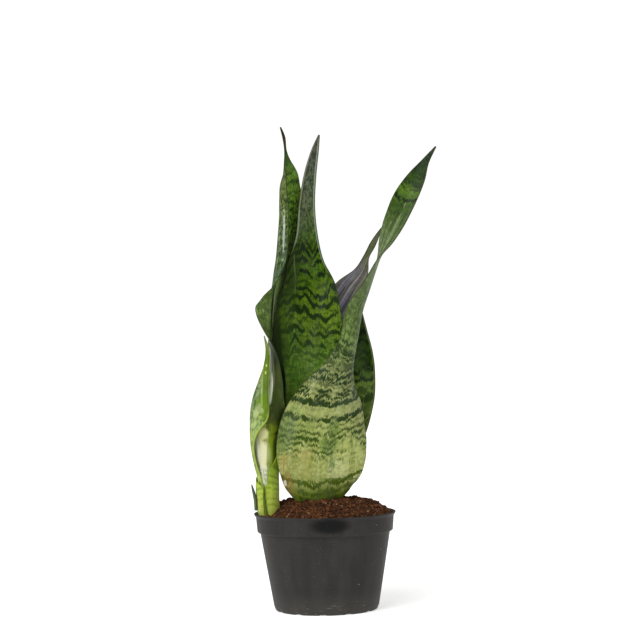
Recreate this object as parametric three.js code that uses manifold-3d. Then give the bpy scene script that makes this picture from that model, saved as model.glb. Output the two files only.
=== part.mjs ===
// A young snake plant in a round black nursery pot.
// Millimetres, +Z up. The origin is the middle of the pot's underside, on the surface that the pot stands on.
// The pot is a thin shell with a rolled-out rim band, the potting soil is one cast-like body inside it, and
// the plant is a buried rhizome with two shoots: five leaves in the middle of the pot and four pieces at the left.

import * as THREE from 'three';
import { mergeVertices } from 'three/addons/utils/BufferGeometryUtils.js';
import Module from 'manifold-3d';

const wasm = await Module();
wasm.setup();

// ---------------------------------------------------------------- driving dimensions

const CLEARANCE = 0.3;            // between pieces that touch

const POT_HEIGHT = 82;
const POT_WALL = 1.2;
const POT_LIP_RADIUS = 60;        // outer edge of the rim, at the very top
const POT_BAND_TOP_RADIUS = 58.3; // just under the flared lip
const POT_BAND_LOW_RADIUS = 57.3;
const POT_LIP_DROP = 3.2;         // height of the flared lip
const POT_BAND_BOTTOM = 66;       // where the rim band steps in to the body
const POT_BODY_TOP_RADIUS = 54.7;
const POT_BODY_LOW_RADIUS = 44.4;
const POT_FOOT_RADIUS = 43.2;
const POT_FOOT_ROUND = 4;         // height of the rounded bottom edge
const POT_FOOT_WIDTH = 4.6;       // the ring that the pot stands on
const POT_CENTRE_PAD = 13;        // radius of the flat pad in the middle of the underside
const POT_RECESS = 1.2;           // how far the underside rises between pad and ring
const POT_FLOOR = 2.4;            // inside floor height
const POT_SEGMENTS = 48;

const DRAIN_HOLES = 8;
const DRAIN_RADIUS = 3.2;
const DRAIN_CIRCLE = 27;

const SOIL_EDGE = 79.5;           // soil height at the pot's wall
const SOIL_HEAP = 12.5;           // how much higher the heap is in the middle
const SOIL_ROUNDNESS = 4.5;       // a higher power makes a flatter heap with steeper edges
const SOIL_HOLLOW = 7;            // how much the heap is lower in front of the left shoot
const SOIL_CRUMB = 0.7;           // height of the crumbly relief
const SOIL_RINGS = 9;
const SOIL_SEGMENTS = 44;

const CROWN_TOP = 72;             // flat top of the rhizome, which the leaves stand on
const LEAF_FOOT = CROWN_TOP + CLEARANCE;

const LEAF_ACROSS = 8;            // strips across a leaf, unless it says otherwise
const LEAF_EDGE = 0.7;            // thickness at the margins

// ---------------------------------------------------------------- leaf spines
// A leaf is a list of stations from its foot to its tip. Each station gives:
//   height, x, y     the midrib
//   half             half of the leaf's true width, along the curve
//   turn             how far the leaf is twisted; 0 has its inner face to +Y, 180 to -Y, -90 to +X
//   left, right      how many degrees each half curls towards the inner face
//   share            how much of the left half there is, if not all of it
// Between stations everything follows one smooth curve.

const LEAVES = {
  // the broad pale leaf in front, folded and twisted above its waist, with its blade at the upper right
  leaf_front: {
    rows: 34, base: 3.2, tip: 1.3,
    stations: [
      [LEAF_FOOT, -4, -9, 10, 0, 50, 50],
      [82, -4, -9.5, 11.5, 0, 50, 50],
      [90, -4.4, -11, 20, 0, 38, 42],
      [98, -4.6, -13, 27.6, 0, 36, 38],
      [107, -4.6, -15, 33.2, 0, 35, 34],
      [118, -3.6, -17, 37.2, 0, 28, 30],
      [131, -1.8, -18.2, 39.2, 0, 20, 32],
      [143, 0.6, -18.9, 39.6, 1, 14, 40],
      [156, 4, -19.6, 38.6, 6, 16, 44],
      [170, 9, -20.5, 35.2, 16, 30, 47],
      [186, 15.8, -22.8, 29.6, 32, 48, 56],
      [204, 22, -22.4, 21, 50, 66, 66],
      [224, 28, -18.8, 16, 64, 74, 74],
      [250, 33.3, -15, 17.4, 68, 52, 56],
      [272, 41.6, -14, 14, 77, 28, 34],
      [293, 49.6, -14, 11.6, 89, 14, 16],
      [308, 56.8, -14, 11.2, 120, 16, 16],
      [326, 65, -14, 11, 148, 24, 24],
      [344, 73.4, -13, 11.2, 156, 26, 26],
      [361, 82.8, -12, 8.4, 160, 24, 24],
      [375, 90.6, -11, 3.6, 160, 16, 16],
      [388, 99.8, -10, 0.7, 160, 5, 5],
    ],
  },
  // the tall dark leaf in the middle, its hollow face to the front
  leaf_centre: {
    rows: 26, base: 3, tip: 1.3,
    stations: [
      [LEAF_FOOT, -6.5, 2, 7, 180, 36, 36],
      [84, -6.8, 2, 7.6, 180, 40, 40],
      [97, -7.8, 2.6, 9.4, 180, 46, 46],
      [118, -6, 5, 18, 180, 45, 45],
      [143, -6, 8, 28, 180, 42, 42],
      [170, -6, 10.5, 34, 180, 40, 42],
      [196, -7.6, 11.5, 33.8, 180, 38, 42],
      [222, -10.6, 12, 32.6, 180, 38, 42],
      [248, -10.2, 12, 30.2, 180, 38, 40],
      [270, -9.2, 12, 25, 180, 38, 38],
      [292, -11.2, 11.5, 17, 180, 42, 42],
      [316, -10.3, 11, 10.4, 180, 46, 46],
      [341, -9.8, 10, 7.9, 180, 50, 50],
      [366, -6.7, 10, 6.1, 180, 50, 50],
      [386, -2.4, 10, 3.8, 180, 40, 40],
      [401.6, 1.9, 10, 0.7, 180, 5, 5],
    ],
  },
  // behind the middle leaf, leaning to the right and ending in a thin folded awl
  leaf_leaning: {
    rows: 24, base: 2.8, tip: 1.2,
    stations: [
      [LEAF_FOOT, -7, 8.5, 6.5, 180, 34, 34],
      [86, -7.3, 8.8, 7, 180, 36, 36],
      [104, -7.8, 11, 10.5, 180, 42, 42],
      [132, -8.3, 15, 17, 180, 42, 42],
      [164, -8, 18, 20, 182, 40, 40],
      [194, -6, 20, 20.5, 186, 38, 38],
      [224, 0.5, 23.5, 19.5, 192, 34, 36],
      [250, 11, 24, 17, 198, 32, 36],
      [270, 22.6, 22, 14.2, 202, 34, 40],
      [284, 33.4, 19, 8.6, 206, 46, 58],
      [297, 39.2, 18.5, 3.6, 208, 60, 70],
      [308, 45.4, 18.5, 3.3, 208, 50, 50],
      [322, 54, 18.5, 0.7, 208, 5, 5],
    ],
  },
  // the short leaf behind, at the right
  leaf_right: {
    rows: 20, base: 2.8, tip: 1.2,
    stations: [
      [LEAF_FOOT, 1, 15, 6.5, 180, 32, 32],
      [86, 2, 15.3, 7, 180, 36, 36],
      [103, 5.2, 18, 10.5, 180, 42, 42],
      [122, 11.5, 23, 14.5, 178, 42, 42],
      [142, 17.4, 27, 18.1, 176, 40, 40],
      [160, 21.5, 29, 21.1, 175, 38, 38],
      [178, 23.6, 32, 23.4, 175, 36, 36],
      [197, 24.6, 34, 22.9, 176, 34, 34],
      [214, 25.6, 35, 20.2, 178, 32, 32],
      [232, 27, 35, 14.4, 180, 30, 30],
      [248, 29, 34, 8.2, 180, 30, 30],
      [263, 31, 33, 0.7, 180, 5, 5],
    ],
  },
  // the tall leaf of the left shoot: a tube at its foot, a flared wave at 255 mm, a narrow rolled top
  leaf_left: {
    rows: 38, base: 2, tip: 1.1,
    stations: [
      [LEAF_FOOT, -49.2, -3.3, 10, -58, 126, 128],
      [83, -52, -3.9, 13.4, -58, 134, 136],
      [95, -52.6, -3.9, 15, -58, 144, 142],
      [110, -52.8, -4.2, 16.4, -58, 140, 138],
      [127, -55.2, -5, 19.3, -60, 124, 124],
      [143, -56.7, -5.4, 22, -60, 116, 125],
      [157, -56.8, -6, 26, -60, 114, 122],
      [170, -55.8, -7, 29, -60, 118, 112],
      [183, -53.4, -8, 26.6, -64, 98, 73],
      [197, -49.8, -8, 26, -68, 94, 44],
      [213, -46, -7, 26, -77, 94, 16],
      [231, -43.5, -4, 25, -85, 90, -30],
      [250.5, -41.4, -1, 24, -91, 76, -72],
      [261, -40.6, 0, 24, -95, 70, -30],
      [272, -39.4, 1, 24, -99, 64, 24],
      [284, -37.6, 2, 23.8, -105, 58, 58],
      [297, -35.2, 3, 23.4, -111, 52, 86],
      [313, -33, 4, 22.6, -118, 44, 98],
      [330, -30.8, 5, 21.6, -126, 34, 108],
      [345, -29.8, 6, 20.6, -132, 28, 112],
      [357, -28.8, 7, 18.4, -136, 22, 108],
      [368, -26.4, 8, 12, -138, 22, 92],
      [380, -26.6, 9, 4.2, -138, 50, 60],
      [389, -27.2, 10, 1.4, -138, 40, 40],
      [400, -28.4, 11, 1.7, -138, 30, 30],
      [409, -31, 12, 0.7, -138, 5, 5],
    ],
  },
  // the shorter outer leaf of the left shoot, with a thin awl at its tip
  leaf_outer: {
    rows: 28, base: 0.9, tip: 1,
    stations: [
      [LEAF_FOOT, -51.8, -1, 8.6, -90, 78, 78, 0.35],
      [83, -54.85, -1, 10.1, -90, 75, 75, 0.35],
      [95, -55.7, -1, 9.8, -90, 72, 74, 0.2],
      [104, -55.65, -1.1, 9.2, -90, 68, 70, 0.1],
      [112, -55.95, -1.3, 7, -90, 62, 60, 0.2],
      [121, -58.1, -1.8, 8.2, -90, 62, 40, 0.4],
      [132, -60.2, -2.4, 9.8, -88, 56, 26, 0.46],
      [144, -61.4, -3.4, 11.8, -86, 50, 30, 0.44],
      [157, -61.3, -5.4, 17.2, -85, 44, 56, 0.32],
      [168, -60.6, -8.6, 22, -84, 40, 88, 0.27],
      [180, -58, -12.8, 20.4, -82, 38, 98, 0.22],
      [194, -52.8, -17.6, 13.4, -80, 38, 88, 0.22],
      [207, -48, -21, 7, -77, 38, 78, 0.35],
      [220, -46, -22.4, 3.6, -66, 38, 60, 0.35],
      [232, -47.6, -21, 0.7, -66, 5, 5, 0.35],
    ],
  },
  // the bright sheath that clasps the foot of the left shoot, open in a V to the front left
  leaf_sheath: {
    rows: 26, across: 12, base: 0.9, tip: 0.8,
    stations: [
      [LEAF_FOOT, -43.75, 6.6, 22.9, -13, -168, -168, 1],
      [83, -45.2, 7.8, 27, -13, -171, -171, 1],
      [95, -45.8, 8.2, 28.2, -13, -172, -172, 1],
      [103, -45.8, 8.4, 28.6, -13, -171, -171, 1],
      [107, -45.4, 8.4, 27.8, -15, -166, -166, 0.82],
      [110, -44.9, 8.3, 26.8, -18, -160, -160, 0.58],
      [114, -43.9, 8.2, 25.7, -24, -150, -150, 0.52],
      [120, -41.8, 7.8, 23.4, -36, -130, -130, 0.56],
      [128, -39.3, 7, 17.6, -50, -90, -90, 0.78],
      [137, -38.8, 7.7, 11.3, -50, -56, -56, 1],
      [145, -38.5, 8.2, 6, -50, -30, -30, 1],
      [151, -38.3, 8.6, 0.7, -50, -5, -5, 1],
    ],
  },
  // the small dark scale on the outside of the sheath
  leaf_scale: {
    rows: 8, base: 0.8, tip: 0.7,
    stations: [
      [84.5, -58.6, -2.6, 3.4, -72, 18, 18],
      [92, -58.9, -2.8, 4, -72, 18, 18],
      [99, -59.8, -3.2, 3.4, -68, 18, 18],
      [106.7, -61.2, -3.8, 0.6, -64, 5, 5],
    ],
  },
};

const MAIN_SHOOT = ['leaf_front', 'leaf_centre', 'leaf_leaning', 'leaf_right'];
const LEFT_SHOOT = ['leaf_left', 'leaf_outer', 'leaf_sheath', 'leaf_scale'];

const COLOURS = {
  pot: 0x2b2827,
  soil: 0x2c1a12,
  rhizome: 0xb99a5c,
  leaf_front: 0x93a860,
  leaf_centre: 0x3d6415,
  leaf_leaning: 0x5b615a,
  leaf_right: 0x35561c,
  leaf_left: 0x4a6a2a,
  leaf_outer: 0x7d9a36,
  leaf_sheath: 0x8fb23e,
  leaf_scale: 0x2f4a1c,
};

// ---------------------------------------------------------------- general helpers

const radians = (degrees) => degrees * Math.PI / 180;

function toSolid(geometry) {
  const bare = geometry.clone();
  bare.deleteAttribute('normal');
  bare.deleteAttribute('uv');
  const merged = mergeVertices(bare, 1e-4);
  return new wasm.Manifold(new wasm.Mesh({
    numProp: 3,
    vertProperties: Float32Array.from(merged.attributes.position.array),
    triVerts: Uint32Array.from(merged.index.array),
  }));
}

function toGeometry(solid) {
  const mesh = solid.getMesh();
  const geometry = new THREE.BufferGeometry();
  geometry.setAttribute('position', new THREE.BufferAttribute(Float32Array.from(mesh.vertProperties), 3));
  geometry.setIndex(new THREE.BufferAttribute(Uint32Array.from(mesh.triVerts), 1));
  return geometry;
}

function largestPiece(solid) {
  const pieces = solid.decompose();
  return pieces.reduce((best, piece) => (piece.volume() > best.volume() ? piece : best));
}

// A profile of [radius, height] points turned about the Z axis.
function turned(profile, segments) {
  const points = profile.map(([radius, height]) => new THREE.Vector2(radius, height));
  return new THREE.LatheGeometry(points, segments).rotateX(Math.PI / 2);
}

function named(name, geometry, roughness) {
  const material = new THREE.MeshStandardMaterial({ color: COLOURS[name], roughness, metalness: 0 });
  const mesh = new THREE.Mesh(geometry, material);
  mesh.name = name;
  return mesh;
}

// ---------------------------------------------------------------- pot

function potOuterRadius(height) {
  const rise = (height - POT_FOOT_ROUND) / (POT_BAND_BOTTOM - POT_FOOT_ROUND);
  return POT_BODY_LOW_RADIUS + (POT_BODY_TOP_RADIUS - POT_BODY_LOW_RADIUS) * rise;
}

const potInnerPoints = [
  [POT_FOOT_RADIUS - POT_WALL - 1, POT_FLOOR],
  [potOuterRadius(POT_FOOT_ROUND) - POT_WALL, POT_FOOT_ROUND + 0.6],
  [POT_BODY_TOP_RADIUS - POT_WALL, POT_BAND_BOTTOM],
  [POT_BAND_LOW_RADIUS - POT_WALL, POT_BAND_BOTTOM + 2 * POT_WALL],
  [POT_BAND_TOP_RADIUS - POT_WALL, POT_HEIGHT - POT_LIP_DROP],
];

function buildPot() {
  const ring = POT_FOOT_RADIUS - POT_FOOT_WIDTH;
  const profile = [
    [0, 0],
    [POT_CENTRE_PAD, 0],
    [POT_CENTRE_PAD + POT_RECESS, POT_RECESS],
    [ring - POT_RECESS, POT_RECESS],
    [ring, 0],
    [POT_FOOT_RADIUS - 1, 0],
    [POT_FOOT_RADIUS, 0.7],
    [POT_BODY_LOW_RADIUS, POT_FOOT_ROUND],
    [POT_BODY_TOP_RADIUS, POT_BAND_BOTTOM - POT_WALL],
    [POT_BODY_TOP_RADIUS + 0.3, POT_BAND_BOTTOM],
    [POT_BAND_LOW_RADIUS - 0.5, POT_BAND_BOTTOM + 0.1],
    [POT_BAND_LOW_RADIUS, POT_BAND_BOTTOM + 0.8],
    [POT_BAND_TOP_RADIUS, POT_HEIGHT - POT_LIP_DROP],
    [POT_LIP_RADIUS - 0.4, POT_HEIGHT - 1.4],
    [POT_LIP_RADIUS, POT_HEIGHT - 0.5],
    [POT_LIP_RADIUS - 0.5, POT_HEIGHT],
    [POT_LIP_RADIUS - POT_WALL - 0.3, POT_HEIGHT],
    ...[...potInnerPoints].reverse(),
    [0, POT_FLOOR],
  ];
  let pot = toSolid(turned(profile, POT_SEGMENTS));
  const drain = new THREE.CylinderGeometry(DRAIN_RADIUS, DRAIN_RADIUS, 4 * POT_FLOOR, 12).rotateX(Math.PI / 2);
  for (let hole = 0; hole < DRAIN_HOLES; hole += 1) {
    const angle = 2 * Math.PI * (hole + 0.5) / DRAIN_HOLES;
    const bit = drain.clone().translate(DRAIN_CIRCLE * Math.cos(angle), DRAIN_CIRCLE * Math.sin(angle), 0);
    pot = pot.subtract(toSolid(bit));
  }
  return toGeometry(pot);
}

// ---------------------------------------------------------------- leaves

// Uniform Catmull-Rom value of one station column at position s, counted in stations.
function smoothValue(stations, column, s) {
  const last = stations.length - 1;
  const i = Math.min(Math.floor(s), last - 1);
  const f = s - i;
  const at = (k) => stations[Math.min(Math.max(k, 0), last)][column];
  const [a, b, c, d] = [at(i - 1), at(i), at(i + 1), at(i + 2)];
  return b + 0.5 * f * (c - a + f * (2 * a - 5 * b + 4 * c - d + f * (3 * (b - c) + d - a)));
}

// The leaf's frame at position s: midrib point, sideways axis S and inner-face axis N.
function leafFrame(stations, s) {
  const last = stations.length - 1;
  const spine = (t) => new THREE.Vector3(
    smoothValue(stations, 1, t), smoothValue(stations, 2, t), smoothValue(stations, 0, t));
  const step = 0.02;
  const along = spine(Math.min(s + step, last)).sub(spine(Math.max(s - step, 0))).normalize();
  if (s === 0) along.set(0, 0, 1);    // the foot is cut level
  const u = new THREE.Vector3(along.z, 0, -along.x).normalize();
  const v = new THREE.Vector3().crossVectors(along, u);
  const turn = radians(smoothValue(stations, 4, s));
  return {
    point: spine(s),
    along,
    side: u.clone().multiplyScalar(Math.cos(turn)).addScaledVector(v, Math.sin(turn)),
    inner: v.clone().multiplyScalar(Math.cos(turn)).addScaledVector(u, -Math.sin(turn)),
    half: smoothValue(stations, 3, s),
    curl: [radians(smoothValue(stations, 5, s)), radians(smoothValue(stations, 6, s))],
    leftShare: stations[0].length > 7 ? smoothValue(stations, 7, s) : 1,
  };
}

// A point of the leaf's middle surface and its inner-face normal; across runs from -1 to 1.
function leafPoint(frame, across, widen) {
  const sign = across < 0 ? -1 : 1;
  const curl = frame.curl[across < 0 ? 0 : 1];
  const reach = Math.abs(across) * (frame.half + widen);
  const bend = curl * Math.abs(across) * (frame.half + widen) / frame.half;
  const flat = Math.abs(bend) < 1e-5;
  const sideways = flat ? reach : reach * Math.sin(bend) / bend;
  const inwards = flat ? 0 : reach * (1 - Math.cos(bend)) / bend;
  const point = frame.point.clone()
    .addScaledVector(frame.side, sign * sideways)
    .addScaledVector(frame.inner, inwards);
  const normal = frame.inner.clone().multiplyScalar(Math.cos(bend))
    .addScaledVector(frame.side, -sign * Math.sin(bend));
  return { point, normal };
}

// One closed blade: an outer and an inner face, thick at the midrib and thin at the margins.
function buildLeaf({ rows, base, tip, stations, across: strips = LEAF_ACROSS }, grow = 0) {
  const last = stations.length - 1;
  const columns = strips + 1;
  const loop = 2 * columns;
  const positions = [];
  for (let row = 0; row <= rows; row += 1) {
    const s = last * row / rows;
    const frame = leafFrame(stations, s);
    if (row === 0) frame.point.addScaledVector(frame.along, -grow);
    const midrib = base + (tip - base) * row / rows;
    const outer = [];
    const inner = [];
    for (let column = 0; column < columns; column += 1) {
      const across = -1 + 2 * column / strips;
      const { point, normal } = leafPoint(frame, across < 0 ? across * frame.leftShare : across, grow);
      const thickness = LEAF_EDGE + (midrib - LEAF_EDGE) * (1 - across * across) + 2 * grow;
      outer.push(point.clone().addScaledVector(normal, -thickness / 2));
      inner.push(point.clone().addScaledVector(normal, thickness / 2));
    }
    [...outer, ...inner.reverse()].forEach((p) => positions.push(p.x, p.y, p.z));
  }
  const index = [];
  for (let row = 0; row < rows; row += 1) {
    for (let k = 0; k < loop; k += 1) {
      const a = row * loop + k;
      const b = row * loop + (k + 1) % loop;
      // the inner face mirrors the outer one, so both are split along the same diagonal
      if (k < columns) index.push(a, b, b + loop, a, b + loop, a + loop);
      else index.push(a, b, a + loop, b, b + loop, a + loop);
    }
  }
  const top = rows * loop;
  for (let column = 0; column < strips; column += 1) {
    const mate = loop - 1 - column;
    index.push(column, mate, column + 1, column + 1, mate, mate - 1);
    index.push(top + column, top + column + 1, top + mate, top + column + 1, top + mate - 1, top + mate);
  }
  const geometry = new THREE.BufferGeometry();
  geometry.setAttribute('position', new THREE.Float32BufferAttribute(positions, 3));
  geometry.setIndex(index);
  return geometry;
}

// ---------------------------------------------------------------- rhizome

const MAIN_CROWN = { x: -3, y: 3, wide: 17, deep: 21, high: 11 };
const LEFT_CROWN = { x: -45, y: -1, wide: 7.4, deep: 8, high: 8 };
const CROWN_CUT = 3.5;            // how far below a crown's pole its flat top is cut
const RUNNER_RADIUS = 5.5;        // the creeping stem between the two crowns

function crown({ x, y, wide, deep, high }, grow) {
  const ball = new THREE.SphereGeometry(1, 18, 10).scale(wide + grow, deep + grow, high + grow);
  return toSolid(ball.translate(x, y, CROWN_TOP + CROWN_CUT - high));
}

function buildRhizome(grow = 0) {
  const reach = MAIN_CROWN.x - LEFT_CROWN.x;
  const runner = new THREE.CapsuleGeometry(RUNNER_RADIUS + grow, reach, 4, 12)
    .rotateZ(Math.PI / 2)
    .translate((MAIN_CROWN.x + LEFT_CROWN.x) / 2, 0, CROWN_TOP - RUNNER_RADIUS - 3);
  const depth = 60;
  const below = new THREE.BoxGeometry(200, 200, depth).translate(0, 0, CROWN_TOP + grow - depth / 2);
  return crown(MAIN_CROWN, grow).add(crown(LEFT_CROWN, grow)).add(toSolid(runner)).intersect(toSolid(below));
}

// ---------------------------------------------------------------- soil

// The round hole that the clasped foot of the left shoot stands in: [height, x, y, radius].
const LEFT_HOLE = [
  [CROWN_TOP, -45.5, -1, 8.7],
  [83, -47.2, -1, 9.9],
  [100, -47.6, -1, 10.5],
];

function buildLeftHole() {
  const sides = 28;
  const positions = [];
  const index = [];
  LEFT_HOLE.forEach(([height, x, y, radius]) => {
    for (let k = 0; k < sides; k += 1) {
      const angle = 2 * Math.PI * k / sides;
      positions.push(x + radius * Math.cos(angle), y + radius * Math.sin(angle), height);
    }
  });
  const top = (LEFT_HOLE.length - 1) * sides;
  for (let ring = 0; ring < LEFT_HOLE.length - 1; ring += 1) {
    for (let k = 0; k < sides; k += 1) {
      const a = ring * sides + k;
      const b = ring * sides + (k + 1) % sides;
      index.push(a, b, b + sides, a, b + sides, a + sides);
    }
  }
  for (let k = 1; k < sides - 1; k += 1) index.push(0, k + 1, k, top, top + k, top + k + 1);
  const geometry = new THREE.BufferGeometry();
  geometry.setAttribute('position', new THREE.Float32BufferAttribute(positions, 3));
  geometry.setIndex(index);
  return toSolid(geometry);
}

function soilHeight(x, y, radius) {
  const share = Math.hypot(x, y) / radius;
  const heap = SOIL_HEAP * (1 - share ** SOIL_ROUNDNESS);
  const hollow = SOIL_HOLLOW * Math.exp(-((x + 44) ** 2 + (y + 14) ** 2) / (2 * 13 ** 2));
  const crumbs = Math.sin(0.41 * x + 1.3) * Math.cos(0.37 * y) + Math.sin(0.83 * x - 0.6 * y)
    + 0.7 * Math.cos(0.29 * x + 0.97 * y);
  return SOIL_EDGE + Math.max(heap - hollow, 0) + SOIL_CRUMB * crumbs * (1 - share ** 8);
}

function buildSoil(carved) {
  const side = potInnerPoints.map(([radius, height]) => [radius - CLEARANCE, height]);
  side[0][1] = POT_FLOOR + CLEARANCE;
  const rim = side[side.length - 1][0];
  const edgeRadius = rim - 0.1;
  const profile = [[0, POT_FLOOR + CLEARANCE], ...side.slice(0, -1), [edgeRadius, SOIL_EDGE - 1.5]];
  const sheet = SOIL_EDGE + 1;    // marks the top's points, which then take the heap's height
  for (let ring = SOIL_RINGS; ring >= 0; ring -= 1) {
    profile.push([edgeRadius * (ring / SOIL_RINGS) ** 0.85, sheet]);
  }
  const geometry = turned(profile, SOIL_SEGMENTS);
  const place = geometry.attributes.position;
  for (let i = 0; i < place.count; i += 1) {
    if (place.getZ(i) > SOIL_EDGE) place.setZ(i, soilHeight(place.getX(i), place.getY(i), edgeRadius));
  }
  return toGeometry(largestPiece(carved.reduce((soil, tool) => soil.subtract(tool), toSolid(geometry))));
}

// ---------------------------------------------------------------- assembly

const assembly = new THREE.Group();

const container = new THREE.Group();
container.add(named('pot', buildPot(), 0.5));
assembly.add(container);

const rootHole = buildRhizome(CLEARANCE);
const leafHoles = MAIN_SHOOT.map((name) => toSolid(buildLeaf(LEAVES[name], CLEARANCE)));
container.add(named('soil', buildSoil([rootHole, ...leafHoles, buildLeftHole()]), 0.95));

const plant = new THREE.Group();
plant.add(named('rhizome', toGeometry(buildRhizome()), 0.7));
for (const shoot of [MAIN_SHOOT, LEFT_SHOOT]) {
  const bundle = new THREE.Group();
  shoot.forEach((name) => bundle.add(named(name, buildLeaf(LEAVES[name]), 0.45)));
  plant.add(bundle);
}
assembly.add(plant);

export default assembly;
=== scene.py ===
"""Looks of a young snake plant in a round black nursery pot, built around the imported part.

Everything is in the part's own frame: +Z up, the pot standing on z = 0, the viewer at -Y.
Sizes are given in millimetres and become metres where a mesh is made. Only the studio and the shaders of the
pot, the soil and the rhizome count in metres.
"""

from __future__ import annotations

import logging
import math
import random
from dataclasses import dataclass, field
from enum import Enum
from typing import Any, Callable, Iterable, Sequence

import bmesh
import bpy
from mathutils import Matrix, Vector, noise


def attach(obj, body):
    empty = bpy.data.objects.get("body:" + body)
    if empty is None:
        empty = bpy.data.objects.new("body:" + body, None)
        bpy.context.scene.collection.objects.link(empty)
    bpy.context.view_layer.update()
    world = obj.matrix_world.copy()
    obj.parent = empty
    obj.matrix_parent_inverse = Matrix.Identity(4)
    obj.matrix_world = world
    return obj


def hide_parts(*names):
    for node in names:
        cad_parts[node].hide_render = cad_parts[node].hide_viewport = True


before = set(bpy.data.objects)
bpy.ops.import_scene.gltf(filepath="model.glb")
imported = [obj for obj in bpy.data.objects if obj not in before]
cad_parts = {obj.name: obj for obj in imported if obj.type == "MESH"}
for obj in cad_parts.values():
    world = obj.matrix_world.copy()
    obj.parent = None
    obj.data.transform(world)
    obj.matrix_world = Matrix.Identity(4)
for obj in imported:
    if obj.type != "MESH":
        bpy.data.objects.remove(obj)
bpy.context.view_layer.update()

LOG = logging.getLogger("snake_plant")
MM = 0.001
BODY = "root"
CROWN_TOP = 72.3
LEAF_EDGE = 0.7

Triple = tuple[float, float, float]
Socket = Any
Station = tuple[float, ...]
BandMark = Triple


# ------------------------------------------------------------------ small helpers


def rgba(colour: str | Triple) -> tuple[float, float, float, float]:
    """Turn a colour into linear red, green, blue and full cover.

    Args:
        colour: Six hex digits for the colour as it looks on a screen, such as "a9bf6f", or three linear
            values.

    Returns:
        The four values.
    """
    if isinstance(colour, str):
        parts = (int(colour[i:i + 2], 16) / 255 for i in (0, 2, 4))
        colour = tuple(c / 12.92 if c <= 0.04045 else ((c + 0.055) / 1.055) ** 2.4 for c in parts)
    red, green, blue = colour
    return red, green, blue, 1.0


def ease(low: float, high: float, value: float) -> float:
    """Go smoothly from 0 at low to 1 at high.

    Args:
        low: Where the step starts.
        high: Where the step ends.
        value: The place that is asked for.

    Returns:
        The share of the step, from 0 to 1.
    """
    share = min(max((value - low) / (high - low), 0.0), 1.0)
    return share * share * (3 - 2 * share)


def chain(points: Iterable[tuple[float, float]]) -> bmesh.types.BMesh:
    """Draw the section of a turned piece as a chain of edges.

    Args:
        points: Radius and height of each corner, in mm.

    Returns:
        The chain, in metres, over the +X axis.
    """
    bm = bmesh.new()
    corners = [bm.verts.new((radius * MM, 0, z * MM)) for radius, z in points]
    for pair in zip(corners, corners[1:]):
        bm.edges.new(pair)
    return bm


def turn(bm: bmesh.types.BMesh, segments: int) -> None:
    """Spin a chain of edges round Z into a closed shell.

    Args:
        bm: The chain, which becomes the shell.
        segments: How many steps a whole turn has.
    """
    bmesh.ops.spin(bm, geom=bm.verts[:] + bm.edges[:], cent=(0, 0, 0), axis=(0, 0, 1), angle=2 * math.pi,
                   steps=segments, use_merge=True)
    bmesh.ops.remove_doubles(bm, verts=bm.verts, dist=1e-6)


def added(name: str, data: bpy.types.ID) -> bpy.types.Object:
    """Put a mesh, lamp or camera in the scene as an object at the origin."""
    thing = bpy.data.objects.new(name, data)
    bpy.context.scene.collection.objects.link(thing)
    return thing


def finished(
    name: str, bm: bmesh.types.BMesh, material: bpy.types.Material, smooth: bool = True,
) -> bpy.types.Object:
    """Close a bmesh and put it in the scene as one object at the origin.

    Args:
        name: The object's name.
        bm: The shape, in metres. It is freed.
        material: The finish of every face.
        smooth: Whether faces are shaded smooth.

    Returns:
        The new object.
    """
    mesh = bpy.data.meshes.new(name)
    bm.to_mesh(mesh)
    bm.free()
    mesh.polygons.foreach_set("use_smooth", [smooth] * len(mesh.polygons))
    mesh.materials.append(material)
    return added(name, mesh)


def seat(piece: bpy.types.Object, slot: str, *nodes: str) -> bpy.types.Object:
    """Tie a finished piece to the part and report it.

    Args:
        piece: The object, in place.
        slot: Not used.
        nodes: The nodes of the part that it stands for.

    Returns:
        The same object.
    """
    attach(piece, BODY)
    if nodes:
        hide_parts(*nodes)
    LOG.info("%s: %d faces", piece.name, len(piece.data.polygons))
    return piece


# ------------------------------------------------------------------ shader nodes

FLOAT, VECTOR = "NodeSocketFloat", "NodeSocketVector"


@dataclass(frozen=True)
class Lumps:
    """One kind of noise: the size of its lumps along x, y and z, how fine and rough it is, and its shift."""

    x: float
    y: float
    z: float
    detail: float = 2.0
    rough: float = 0.5
    shift: Triple = (0.0, 0.0, 0.0)


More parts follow.
